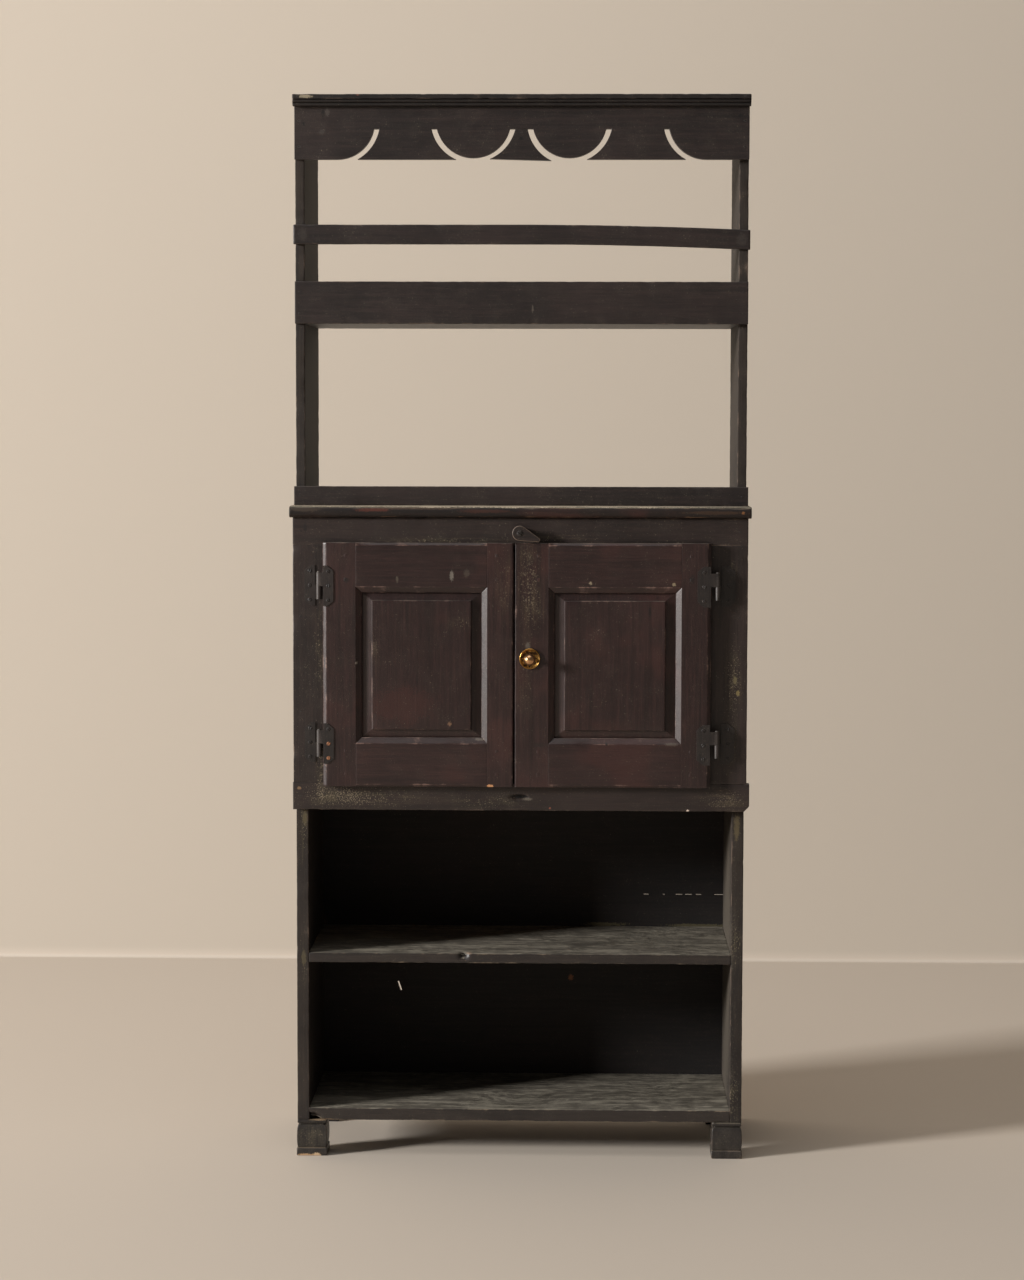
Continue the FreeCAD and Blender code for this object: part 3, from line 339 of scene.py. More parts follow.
def foot(node, seed):
    """Rounded squares stacked up a moulded outline: each row is a height and how far the block stands
    out there, in millimetres. The body swells by sin^0.4 from its lower to its upper end."""
    low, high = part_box(node)
    swell = np.linspace(0, math.pi, 17)
    body_low, body_tall, cap_low, top = 14, 40, 58, 64
    base = [(0, -1.4), (0.6, -0.5), (2, 0), (7, 0), (12.4, 0), (13.6, -0.6)]
    base += [(body_low, -1.4), (body_low, -3)]
    body = np.stack([body_low + body_tall * swell / math.pi, -2.6 + 2.2 * np.abs(np.sin(swell)) ** 0.4], 1)
    groove = [(54, -4.6), (54.2, -5.5), (57.8, -5.5), (cap_low, -4.4)]
    cap = [(cap_low, -2.4), (58.7, -1.7), (59.6, -1.5), (63.2, -1.5), (top, -1.8)]
    heights, insets = np.vstack([base, body, groove, cap]).T * mm
    widths = insets + (high.x - low.x) / 2
    outline, gaps, _ = section(square, 0.07, 0.25)
    middle = np.array([(low.x + high.x) / 2, (low.y + high.y) / 2])
    rub = 1 - 0.012 * np.maximum(ripple(heights[:, None] * 3 + outline[None, :, 0] * 0.2, seed), 0)
    plan = outline[None] * (widths[:, None] * rub)[..., None] + middle
    points = np.dstack([plan[..., 0], plan[..., 1], np.broadcast_to(heights[:, None], plan.shape[:2])])
    grain = points[..., [2, 0, 1]].reshape(-1, 3) + own_place(seed)
    edges = np.array([0, body_low, cap_low, top]) * mm
    breaks = np.abs(heights[:, None] - edges).min(1) + 0.3 * mm
    return {"points": points.reshape(-1, 3), "faces": joined_rings(points), "grain": grain,
            "arris": np.minimum(gaps[None] * 0.027, breaks[:, None]).ravel()}


def ripple(t, seed):
    """Smooth unevenness from -1 to 1: a sum of sines of a length, with wavelengths from 1 to 40 cm."""
    rng = np.random.default_rng(seed)
    waves = np.array([0.41, 0.17, 0.071, 0.033, 0.013])
    phase = rng.uniform(0, 2 * math.pi, len(waves))
    swings = np.sin(np.asarray(t)[..., None] * 2 * math.pi / waves + phase)
    return (swings * [1, 0.9, 0.8, 0.7, 0.6]).sum(-1) / 2.4


# Pale broken wood along the floor at the front left. The pale lines along the top of the cap and along the
# ridge at 14 mm are painted highlights on those arrises.
foot_marks_and_highlights = marks(
    "foot_front_left", (-374, 0.5, 16, 3.4, (196, 160, 122), 0.9), (-356, 1, 7, 4.4, (206, 176, 140), 0.9),
    (-352, 64, 14, 1.3, (150, 126, 98), 0.8), (-365, 14.2, 26, 1.1, (112, 98, 80), 0.6),
    (366, 14.2, 26, 0.9, (90, 80, 70), 0.5), (366, 63, 26, 1, (112, 104, 90), 0.5))
foot_paint = old_paint(
    "foot_paint", (29, 25, 23), (40, 35, 32), film=0.12, dust=0.5, spots=foot_marks_and_highlights,
    spatter=marks("foot_front_left", (-366, 40, 30, 30, 0.6)))
for number, corner in enumerate(("front_left", "front_right", "back_left", "back_right")):
    node = "foot_" + corner
    make_piece(node + "_block", [foot(node, 31 + number)], foot_paint, node)


# Side boards: two wide pine boards, planed by hand, that stand on the feet and carry everything.
# Their paint is old, thin and nearly black, and the right one is dusty inside.
def nicks(t, seed):
    """Small dents: a sum of bell curves of a length, 3 to 9 mm wide and up to 1.6 mm deep."""
    rng = np.random.default_rng(seed + 500)
    where = rng.uniform(-1.2, 3.4, 46)
    wide, deep = rng.uniform(1.5, 5, 46) * mm, rng.uniform(0.2, 1.6, 46) * mm
    return (np.exp(-((np.asarray(t)[..., None] - where) / wide) ** 2) * deep).sum(-1)


def stick(corners, arris, begin, finish, axes, seed, worn=0.6 * mm, step=6 * mm, across=12 * mm,
          ends=0.5 * mm, nicked=1, bare_ends=True):
    """A cross-section carried along a stick. axes names what runs along, then what the section's two
    directions are. begin and finish say where each point of the section starts and stops, so ends may
    be mitred. Corners are worn inwards by the positive part of a ripple, and nicked, and both fade
    with e^(-distance to the corner). The ends are drawn in by a quarter circle."""
    outline, gaps, lanes = section(corners, arris, across)
    tangent = np.roll(outline, -1, 0) - np.roll(outline, 1, 0)
    tangent /= np.maximum(np.linalg.norm(tangent, axis=1), 1e-9)[:, None]
    inward = np.stack([-tangent[:, 1], tangent[:, 0]], 1)
    begin = np.broadcast_to(begin(outline) if callable(begin) else begin, len(outline))
    finish = np.broadcast_to(finish(outline) if callable(finish) else finish, len(outline))
    quarter = np.linspace(0, math.pi / 2, 3)
    curve, inner = 1 - np.cos(quarter), 2.5 * mm + ends
    length = float(np.mean(finish - begin))
    middle = np.linspace(0, 1, max(2, int(length / step)))[:, None]
    share = np.vstack([np.zeros((3, 1)), middle, np.ones((3, 1))])
    shift = np.concatenate([ends * curve, inner * (1 - 2 * middle[:, 0]), -ends * curve[::-1]])[:, None]
    along = begin * (1 - share) + finish * share + shift
    rub = np.maximum(ripple(along + 0.61 * lanes, seed) - 0.15, 0) * worn
    rub += nicks(along + 0.37 * lanes, seed) * nicked
    inset = rub * np.exp(-gaps / (1.6 * mm))
    inset[:3] += (ends * (1 - np.sin(quarter)))[:, None]
    inset[-3:] += (ends * (1 - np.sin(quarter[::-1])))[:, None]
    points = np.empty(along.shape + (3,))
    sides = (along, outline[:, 0] + inward[:, 0] * inset, outline[:, 1] + inward[:, 1] * inset)
    for axis, side in zip(axes, sides):
        points[..., "xyz".index(axis)] = side
    to_end = np.minimum(along - begin, finish - along) + 0.6 * mm if bare_ends else 1
    grain = np.stack([along, sides[1], sides[2]], -1).reshape(-1, 3)
    return {"points": points.reshape(-1, 3), "faces": joined_rings(points),
            "arris": np.minimum(np.broadcast_to(gaps, along.shape), to_end).ravel(),
            "grain": grain + own_place(seed + 1000)}


def board(node, axes, seed, arris=1.2 * mm, worn=0.7 * mm, lo=None, hi=None, **more):
    """A plain planed board that fills the box of its CAD node, or the part of it that shows."""
    low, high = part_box(node)
    low, high = np.array(low if lo is None else lo), np.array(high if hi is None else hi)
    t, a, b = ("xyz".index(axis) for axis in axes)
    corners = [(low[a], low[b]), (high[a], low[b]), (high[a], high[b]), (low[a], high[b])]
    return stick(corners, arris, low[t], high[t], axes, seed, worn, **more)


left_wall, right_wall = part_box("case_side_left")[1].x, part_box("case_side_right")[0].x
side_spots = marks(
    "case_side_left", (-375, 598, 4, 13, (118, 106, 74), 0.4), (378, 585, 5, 22, (116, 102, 70), 0.4),
    (-378, 353, 4, 12, (108, 98, 72), 0.4))
side_spots.append(((right_wall / mm, 50, 330), (12, 150, 330), (104, 96, 84), 0.4))
side_spatter = marks(
    "case_side_left", (372, 380, 16, 50, 0.9), (372, 110, 16, 60, 0.9), (-378, 590, 8, 60, 0.8),
    (-378, 340, 8, 50, 0.7))
side_paint = old_paint(
    "side_paint", (31, 24, 21), (42, 34, 28), specks=0.7, shine=0.62, gloss=0.4, spots=side_spots,
    spatter=side_spatter)
for number, side in enumerate(("left", "right")):
    node = "case_side_" + side
    make_piece(node + "_board", [board(node, "zxy", 11 + number)], side_paint, node)


# Open shelves: boards let into dados in the sides. Their tops are scoured grey along the grain. The
# middle one has lost a knot from its front edge, the lower one the end of its front arris.
def shelf(node, seed):
    """The part of a shelf that shows between the side boards."""
    low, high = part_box(node)
    return board(node, "xyz", seed, 1.3 * mm, 1.1 * mm, lo=(left_wall, low.y, low.z),
                 hi=(right_wall, high.y, high.z), step=4 * mm, across=5 * mm, bare_ends=False,
                 ends=0.1 * mm)


def hollow(shell, centre, radii, depth, seed):
    """Presses a ragged hollow into a shell: depth times e^(-d^4), where d is 1 at the given radii."""
    from_centre = (shell["points"] - np.array(centre)) / np.array(radii)
    reach = np.linalg.norm(from_centre, axis=1) * (1 + 0.25 * ripple(shell["points"].sum(1) * 4, seed))
    shell["points"] += np.exp(-reach[:, None] ** 4) * np.array(depth)
    return shell


shelf_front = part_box("mid_shelf")[0].y
knot, broken_end = (-0.0985, shelf_front, 0.3605), (-0.365, shelf_front, 0.066)
mid = hollow(shelf("mid_shelf", 21), knot, (0.006, 0.012, 0.006), (0, 0.009, -0.004), 1)
low_shelf = hollow(shelf("bottom_shelf", 22), broken_end, (0.016, 0.012, 0.008), (0.002, 0.007, 0.005), 2)
# The hole of the lost knot and the broken end are painted near black, as the shade inside them.
shelf_marks_and_shade = marks(
    "mid_shelf", (-99, 360.5, 6, 4.5, (8, 7, 6), 0.97), (-89, 361, 6, 2, (150, 126, 108), 0.7),
    (-366, 68, 16, 7, (22, 19, 17), 0.8), (-338, 64.5, 16, 1.4, (140, 116, 90), 0.6))
shelf_paint = old_paint(
    "shelf_paint", (30, 24, 22), (41, 34, 30), (112, 98, 82), dust=0.2, specks=0.6, scoured=0.95,
    spots=shelf_marks_and_shade)
make_piece("mid_shelf_board", [mid], shelf_paint, "mid_shelf")
make_piece("bottom_shelf_board", [low_shelf], shelf_paint, "bottom_shelf")


# Back boards: three wide rough boards nailed across the back. The lowest has a splintered upper edge,
# a brown knot, and a split that lets the light through.
def dress(material, *nodes):
    """CAD nodes that keep their own mesh take this material."""
    for node in nodes:
        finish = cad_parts[node].data.materials
        finish.clear()
        finish.append(material)


back_spots = marks(
    "back_board_lower", (89, 265, 4.5, 5, (112, 70, 42), 0.9), (-374, 362, 10, 24, (100, 68, 44), 0.4),
    (150, 364, 40, 4, olive_dust, 0.4), (330, 362, 60, 4, olive_dust, 0.3))
back_paint = old_paint(
    "back_paint", (17, 13, 12), (25, 18, 16), film=0.02, shine=0.6, gloss=0.4, along="x", spots=back_spots,
    specks=0.25, bare_back=True)
dress(back_paint, "back_board_lower", "back_board_middle", "back_board_upper")


# Inside the cupboard: its floor, a loose shelf on two cleats and the rack's top board are bare pine,
# gone brown, with the saw's marks across the grain.
inside_pine, place, shader = start_finish("inside_pine")
drawn = place.stretched(0.05, 1, 1)
figure, fine, clouds = drawn.noise(60, 4, 0.6), drawn.noise(480, 3, 0.6), place.noise(6, 4, 0.6)
saw_marks = place.stretched(1, 0.08, 0.08).noise(260, 2, 0.5)
colour = clouds.fade(0.35, 0.65).between(seen(112, 84, 58), seen(142, 112, 80))
colour = colour.over(figure.fade(0.5, 0.62) * 0.5, seen(88, 58, 36))
colour = colour.over(fine.fade(0.55, 0.8) * 0.4, seen(158, 130, 96))
colour = colour.over(place.noise(24, 4, 0.7).fade(0.55, 0.75) * 0.5, seen(72, 58, 46))
soil = facing(place, 2) * (clouds * 0.5 + figure * 0.5).fade(0.3, 0.7)
colour = colour.over(soil * 0.55, seen(98, 88, 74))
height = figure + fine * 0.5 + saw_marks * 0.6
wire(shader, Base_Color=colour, Roughness=0.62 + fine * 0.2, Normal=height.bump(0.4, 0.0008))
dress(inside_pine, "cupboard_floor", "cupboard_shelf", "shelf_cleats", "rack_top_board")


# Face frame: two stiles tenoned between two rails, flush in front. The bottom rail runs on past the
# frame at the right, where its lower corner was sawn off, and has an old worn slot in the middle.
# The old slot is painted near black, as the shade inside it.
frame_marks_and_slot_shade = marks(
    "face_bottom_rail", (372, 845, 3, 7, olive_dust, 0.6), (377, 822, 3, 5, (140, 124, 80), 0.6),
    (0, 640.5, 15, 3, (5, 4, 4), 0.98), (14, 636, 8, 2.6, (112, 104, 92), 0.55),
    (291.5, 617.5, 2.6, 2.2, (226, 206, 190), 0.95), (53, 620.5, 2.2, 1.6, (140, 80, 60), 0.8),
    (-383, 654, 3, 2.4, (150, 118, 86), 0.6), (-371, 1106, 2.4, 9, (14, 12, 12), 0.7))
frame_spatter = marks(
    "face_bottom_rail", (-330, 641, 60, 22, 1), (-240, 638, 80, 18, 0.8), (-60, 632, 80, 18, 0.6),
    (355, 636, 44, 20, 0.9), (370, 845, 14, 60, 0.9), (366, 730, 14, 60, 0.6), (365, 1036, 10, 14, 0.8),
    (-345, 700, 9, 60, 1), (-347, 900, 9, 90, 0.6), (-140, 1084, 120, 6, 0.8), (60, 1090, 60, 10, 0.5))
frame_paint = old_paint(
    "frame_paint", (30, 21, 19), (40, 29, 26), specks=0.8, spots=frame_marks_and_slot_shade, spatter=frame_spatter)
rail_low, rail_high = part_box("face_bottom_rail")
head_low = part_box("face_top_rail")[0]
for number, side in enumerate(("left", "right")):
    node = "face_stile_" + side
    low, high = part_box(node)
    stile = board(node, "zxy", 41 + number, 1.0 * mm, lo=(low.x, low.y, rail_high.z),
                  hi=(high.x, high.y, head_low.z), ends=0.7 * mm, bare_ends=False)
    make_piece(node + "_board", [stile], frame_paint, node)
head = board("face_top_rail", "xyz", 43, 0.7 * mm, 0.5 * mm, bare_ends=False)
make_piece("face_top_rail_board", [head], frame_paint, "face_top_rail")
rail = board("face_bottom_rail", "xyz", 44, 1.4 * mm, 1.2 * mm, step=2.5 * mm, across=2.5 * mm)
x, z = rail["points"][:, 0], rail["points"][:, 2]
sawn, eased, worn_slot = 9 * mm, 30 * mm, (0, rail_low.y, 0.6405)
clip = np.maximum(0, sawn - (z - rail_low.z))
rail["points"][:, 0] = x - clip * np.clip((x - rail_high.x + eased) / eased, 0, 1)
rail = hollow(rail, worn_slot, (0.0155, 0.004, 0.0032), (0, 0.005, 0), 3)
make_piece("face_bottom_rail_board", [rail], frame_paint, "face_bottom_rail")


# Deck: the board that tops the cupboard, its front edge worked to a round nose. Hands and dishes
# have rubbed the nose to reddish bare wood in places, and pale dust lies on its top. The pale strip
# along the top of the nose is dust and also a painted highlight.
deck_spots = marks(
    "deck_board", (-252, 1138, 26, 3.4, (104, 52, 38), 0.45), (-66, 1136, 40, 3, (84, 48, 36), 0.35),
    (-190, 1141, 90, 2.4, (92, 72, 56), 0.35), (383, 1134, 2.6, 2.2, (140, 92, 54), 0.7),
    (-372, 1138, 26, 4, (88, 74, 60), 0.3), (330, 1134, 50, 3, (76, 54, 38), 0.4))
# a pale strip along the top of the nose: dust, and a painted highlight
dust_and_highlight_line = ((0, -131, 1146), (440, 60, 3.4), (196, 180, 156), 0.85)
deck_spots.append(dust_and_highlight_line)
deck_paint = old_paint(
    "deck_paint", (20, 12, 9), (30, 19, 14), (96, 72, 54), dust=1, film=0.02, shine=0.46, gloss=0.35,
    spots=deck_spots, scoured=0.6, edge=0.3, red=0.3)
low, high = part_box("deck_board")
corners = [(low.y, low.z), (high.y, low.z), (high.y, high.z), (low.y, high.z)]
nose_low, nose_high = 8.5 * mm, 10.5 * mm
deck = stick(corners, [nose_low, mm, mm, nose_high], low.x, high.x, "xyz", 51, 1.0 * mm, ends=1.2 * mm)
make_piece("deck_board_nosed", [deck], deck_paint, "deck_board")


# Plate rack: two uprights, a shelf let into them and boards nailed across the front: the bottom
# rail, the guard of the shelf and the thin plate rail, which has sagged to the right.
# The near-black dots are painted shade in nail holes and in a gouge.
rack_marks_and_hole_shade = marks(
    "rack_bottom_rail", (-376, 1801, 4, 4, (10, 9, 9), 0.9), (376, 1815, 3.2, 3.2, (12, 10, 10), 0.8),
    (-342, 1820, 3, 10, (13, 12, 12), 0.8), (-335, 1821, 4, 7, (96, 90, 84), 0.35),
    (-344, 1787, 6, 5, (84, 80, 76), 0.25), (-1, 1776, 3.4, 3.4, (8, 7, 7), 0.9),
    (-378, 1612, 8, 12, (84, 78, 72), 0.2), (380, 1603, 8, 10, (84, 78, 72), 0.2),
    (20, 1484, 1.6, 7, (112, 104, 94), 0.35))
rack_paint = old_paint("rack_paint", (29, 22, 21), (39, 29, 27), spots=rack_marks_and_hole_shade, edge=0.3)
for number, side in enumerate(("left", "right")):
    node = "rack_side_" + side
    make_piece(node + "_upright", [board(node, "zxy", 61 + number, worn=1.2 * mm)], side_paint, node)
inner_left, inner_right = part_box("rack_side_left")[1].x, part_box("rack_side_right")[0].x
low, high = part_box("rack_shelf")
rack_shelf = board("rack_shelf", "xyz", 63, lo=(inner_left, low.y, low.z), hi=(inner_right, high.y, high.z),
                   bare_ends=False)
make_piece("rack_shelf_board", [rack_shelf], shelf_paint, "rack_shelf")
for node, seed, worn in (("plate_guard", 65, 1.3 * mm), ("rack_bottom_rail", 66, 1.2 * mm)):
    make_piece(node + "_board", [board(node, "xyz", seed, 1.3 * mm, worn)], rack_paint, node)
low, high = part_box("plate_rail")
droop = 9 * mm
level = (low.x, low.y, low.z + droop)
strip = board("plate_rail", "xyz", 67, 2 * mm, 1.4 * mm, lo=level, hi=high, ends=1.6 * mm)
x = strip["points"][:, 0]
strip["points"][:, 2] -= droop * np.maximum(0, x / high.x) ** 2
make_piece("plate_rail_strip", [strip], rack_paint, "plate_rail")


# Frieze: one board across the top, pierced along its lower edge by a saw that followed four discs.
# The tongue between the middle ones broke off and was nailed back a little askew.
def softened(node, width, materials, name, seed, body="cabinet", along="x",
             segments=2, proud=None):
    """A piece from the CAD's own mesh: its loose triangles joined, its flats made whole, and each corner
    over 30 degrees rounded by a bevel of this width, in the last material. Points in front of the first
    proud plane, or behind the second, stand out by a fifth of a millimetre."""
    shape = bmesh.new()
    shape.from_mesh(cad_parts[node].data)
    bmesh.ops.remove_doubles(shape, verts=shape.verts, dist=1e-6)
    bmesh.ops.dissolve_limit(shape, angle_limit=math.radians(0.5), verts=shape.verts, edges=shape.edges)
    mesh = bpy.data.meshes.new(name)
    shape.to_mesh(mesh)
    shape.free()
    points = np.empty(len(mesh.vertices) * 3, np.float32)
    mesh.vertices.foreach_get("co", points)
    points = points.reshape(-1, 3)
    if proud:
        fore, aft = points[:, 1] < proud[0] * mm, points[:, 1] > proud[1] * mm
        points[:, 1] += 0.2 * mm * (aft * 1.0 - fore)
        mesh.vertices.foreach_set("co", points.ravel())
    order = ["xyz".index(axis) for axis in along + "xyz".replace(along, "")]
    note(mesh, np.full(len(points), never_worn), points[:, order] + own_place(seed))
    mesh.shade_smooth()
    piece = hang(name, mesh, materials, node, body)
    rounding = piece.modifiers.new("rounding", "BEVEL")
    rounding.width, rounding.segments, rounding.material = width, segments, len(materials) - 1
    rounding.limit_method, rounding.angle_limit = "ANGLE", math.radians(30)
    piece.modifiers.new("flat_faces", "WEIGHTED_NORMAL")
    return piece


rubbed_paint = old_paint("rubbed_paint", (38, 31, 29), (56, 46, 41), specks=0.7)
fret = [rack_paint, rubbed_paint]
softened("frieze_board", 0.7 * mm, fret, "frieze_fretwork", 71)
softened("frieze_patch", 0.6 * mm, fret, "frieze_nailed_tongue", 72)


# Cornice: a strip nailed over the frieze's top, with a flat band above two reeds, each set back from
# what is above it. It was run with a moulding plane.
low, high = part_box("cornice")
band, reed, setback = 8 * mm, 3 * mm, 2.5 * mm
bulge = np.linspace(math.pi * 0.5, math.pi * 1.5, 9)
reed_middle = [low.y + setback + reed, high.z - band - reed]
upper_reed = np.stack([np.cos(bulge), np.sin(bulge)], 1) * reed + reed_middle
lower_reed = upper_reed + [setback, -2 * reed]
outline = np.vstack([[(low.y, high.z), (low.y, high.z - band)], upper_reed, lower_reed,
                     [(high.y, low.z), (high.y, high.z)]])
soft = np.array([1.2, 0.8] + [0.1] * (2 * len(bulge)) + [0.3, 1.0]) * mm
cornice = stick(outline, soft, low.x, high.x, "xyz", 75, 0.7 * mm, ends=1.2 * mm)
# The cornice's paint is a darker copy of the rack's: painted shade, standing in for the shadows of its
# reeds.
cornice_spots = marks(
    "cornice", (-372, 1846, 11, 3, (150, 138, 116), 0.8), (-281, 1849, 3, 2, (112, 70, 58), 0.7))
cornice_paint_shaded = old_paint(
    "cornice_paint_shaded", (22, 17, 16), (30, 23, 21), film=0.02, shine=0.42, gloss=0.4, spots=cornice_spots,
    edge=0.3)
make_piece("cornice_strip", [cornice], cornice_paint_shaded, "cornice")


# Doors: each a frame of two stiles and two rails, tenoned and pegged, with a bevel round the sight
# opening and a raised panel loose in its groove. The paint is redder here, from a coat underneath.
door_spots = marks(
    "left_door_lock_stile", (-211, 1019, 2.4, 5, (96, 88, 76), 0.5),
    (-117, 1026, 3.4, 8, (124, 118, 108), 0.7), (-91, 1030, 5, 7, (86, 78, 68), 0.4),
    (-299, 1017, 4.5, 4.5, (26, 21, 21), 0.7), (296, 1019, 5, 7, (22, 18, 18), 0.7),
    (122, 1013, 3.4, 3, (140, 126, 104), 0.8), (265, 1011, 3, 2.8, (140, 126, 100), 0.8),
    (-121, 769, 3.4, 4.4, (136, 104, 80), 0.6), (14, 905, 4, 8, (110, 102, 92), 0.5),
    (224, 964, 1.8, 7, (16, 12, 12), 0.8), (-50, 661, 5, 2.6, (206, 150, 104), 0.9),
    (-282, 874, 2, 2.2, (150, 142, 132), 0.7), (-70, 742, 9, 2.2, (120, 110, 100), 0.5),
    (262, 735, 10, 3, (104, 96, 86), 0.4), (36, 733, 12, 4, (28, 24, 22), 0.5),
    (150, 735, 2.4, 3, (18, 15, 15), 0.8), (-206, 799, 60, 30, (70, 38, 33), 0.35))
door_spatter = marks(
    "left_door_lock_stile", (14, 1024, 20, 60, 1), (26, 960, 20, 40, 0.6), (-27, 1020, 14, 60, 0.7),
    (-101, 942, 26, 12, 0.7), (-250, 900, 10, 40, 0.5), (10, 850, 16, 80, 0.4))
door_paint = old_paint(
    "door_paint", (36, 21, 20), (46, 28, 26), (104, 82, 74), dust=0.6, film=0.03, spots=door_spots,
    spatter=door_spatter, red=0.2, shine=0.28)
bevel_wide, bevel_deep = 10 * mm, 6.5 * mm


def raised_panel(side, x0, x1, z0, z1, front, body, seed):
    """Rectangles inside one another, from the groove at the back to the middle of the field: a flat
    tongue, a sloping margin, a square lip and the field. Each row says how far the rectangle lies in
    from the sides of the sight opening and from its ends, and how deep behind the frame's front."""
    tongue = [(-7, -7, 15.3), (-7, -7, 11.7), (-1.5, -1.5, 11.7), (0.4, 0.4, 11.6)]
    margin = [(6, 4.8, 10.4), (11, 8.6, 9.35), (16.4, 12.6, 8.2), (17, 13.1, 8)]
    lip = [(17.2, 13.3, 7.4), (17.45, 13.5, 5.6), (17.65, 13.7, 3.9), (17.95, 13.95, 3.25)]
    field = [(18.4, 14.4, 3.02), (20, 16, 3), (30, 26, 3), (60, 56, 2.95)]
    rings = np.array(tongue + margin + lip + field) * mm
    around = section(square, 0.002, 0.08)[0]
    half, middle = np.array([x1 - x0, z1 - z0]) / 2, np.array([x0 + x1, z0 + z1]) / 2
    plan = around[None] * (half - rings[:, None, :2]) + middle
    behind = np.broadcast_to(front + rings[:, None, 2], plan.shape[:2])
    points = np.dstack([plan[..., 0], behind, plan[..., 1]])
    rub = np.maximum(ripple(points[..., 0] * 2 + points[..., 2], seed), 0) * 0.5 * mm
    from_lip = np.abs(rings[:, None, 0] - 17.9 * mm)
    points[..., 1] += rub * np.exp(-(from_lip / mm) ** 2)
    grain = points[..., [2, 0, 1]].reshape(-1, 3) + own_place(seed)
    arris = np.broadcast_to(from_lip * 1.5, plan.shape[:2]).ravel()
    shell = {"points": points.reshape(-1, 3), "faces": joined_rings(points), "arris": arris, "grain": grain}
    make_piece(side + "_door_raised_panel", [shell], door_paint, side + "_door_panel", body)


def framed_door(side, hinge_left, seed):
    """Stiles are sticks with a bevel strip along the sight opening, mitred at its ends. Rails are sticks
    whose section has the bevel, and whose ends are cut back along it. The sections of the right stile
    and the top rail are read backwards, which keeps them anticlockwise."""
    lock, hinge = side + "_door_lock_stile", side + "_door_hinge_stile"
    left_node, right_node = (hinge, lock) if hinge_left else (lock, hinge)
    (left_low, left_high), (right_low, right_high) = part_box(left_node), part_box(right_node)
    front, back, bottom, top = left_low.y, left_high.y, left_low.z, left_high.z
    joint_left, joint_right = left_high.x - bevel_wide, right_low.x + bevel_wide
    low_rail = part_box(side + "_door_bottom_rail")[1].z - bevel_wide
    high_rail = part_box(side + "_door_top_rail")[0].z + bevel_wide
    body = side + "_door"
    for node, outer, joint, inward, hung in (
            (left_node, left_low.x, joint_left, 1, hinge_left),
            (right_node, right_high.x, joint_right, -1, not hinge_left)):
        wide, deep = (6 * mm, 4 * mm) if hung else (1.4 * mm, 1.4 * mm)
        across = [(outer, front + deep), (outer + inward * wide, front), (joint, front), (joint, back),
                  (outer, back)]
        soft = np.array([1.5, 1.6, 0.1, 0.4, 1.0]) * mm
        slope = [(joint, front), (joint + inward * bevel_wide, front + bevel_deep),
                 (joint + inward * bevel_wide, back), (joint, back)]
        eased = np.array([0.1, 0.5, 0.3, 0.3]) * mm
        bar = stick(across[::inward], soft[::inward], bottom, top, "zxy", seed + 1, 0.5 * mm,
                    ends=0.8 * mm, nicked=0.5)
        edge = stick(slope[::inward], eased[::inward], lambda o: low_rail + np.abs(o[:, 0] - joint),
                     lambda o: high_rail - np.abs(o[:, 0] - joint), "zxy", seed + 2, 0.3 * mm,
                     bare_ends=False, ends=0.05 * mm, nicked=0.3)
        make_piece(node + "_bar", [bar, edge], door_paint, node, body)
        seed += 3
    for name, outer, joint, inward in (
            ("bottom_rail", bottom, low_rail, 1), ("top_rail", top, high_rail, -1)):
        tip = joint + inward * bevel_wide
        across = [(front, outer), (back, outer), (back, tip), (front + bevel_deep, tip), (front, joint),
                  (front, outer + inward * 4 * mm)]
        soft = np.array([0.8, 0.8, 0.3, 0.5, 0.3, 0.3]) * mm
        bar = stick(across[::inward], soft[::inward],
                    lambda o: joint_left + np.clip((o[:, 1] - joint) * inward, 0, bevel_wide),
                    lambda o: joint_right - np.clip((o[:, 1] - joint) * inward, 0, bevel_wide), "xyz", seed,
                    0.4 * mm, bare_ends=False, ends=0.1 * mm, nicked=0.4)
        # A chamfer 4 mm wide and 2.5 mm deep along the outer arris, stopped short of both stiles.
        x, y, z = bar["points"].T
        window = np.clip(np.minimum(x - joint_left - mm, joint_right - mm - x) / (8 * mm), 0, 1)
        rise = np.clip(1 - (z - outer) * inward / (4 * mm), 0, 1)
        bar["points"][:, 1] += 2.5 * mm * rise * window * (2 - window) * (y < front + 3 * mm)
        node = side + "_door_" + name
        make_piece(node + "_bar", [bar], door_paint, node, body)
        seed += 1
    raised_panel(side, joint_left + bevel_wide, joint_right - bevel_wide, low_rail + bevel_wide,
                 high_rail - bevel_wide, front, body, seed)
    softened(side + "_door_pegs", 0.6 * mm, [door_paint], side + "_door_peg_ends", seed + 9, body,
             along="y", proud=(-150, -140))


framed_door("left", True, 101)
framed_door("right", False, 121)


# Hinges: cranked H hinges cut from sheet iron, with rolled knuckles and slotted screws, all painted
# over with the doors. On the lower left one two screws have rusted through the paint.
pins, hinge_heights, leaf_thick = (-346.5, 340.5), (734, 1007), 1.8  # millimetres
# Lighter patches on the knuckles are painted highlights on the round barrels.
knuckle_highlights = [((x, -154, z), (5, 8, 24), (84, 76, 72), 0.35) for x in pins for z in hinge_heights]
iron_paint = old_paint(
    "iron_paint", (24, 19, 18), (34, 27, 25), (80, 70, 60), film=0.05, shine=0.32, gloss=0.6, specks=0.3,
    spots=knuckle_highlights)
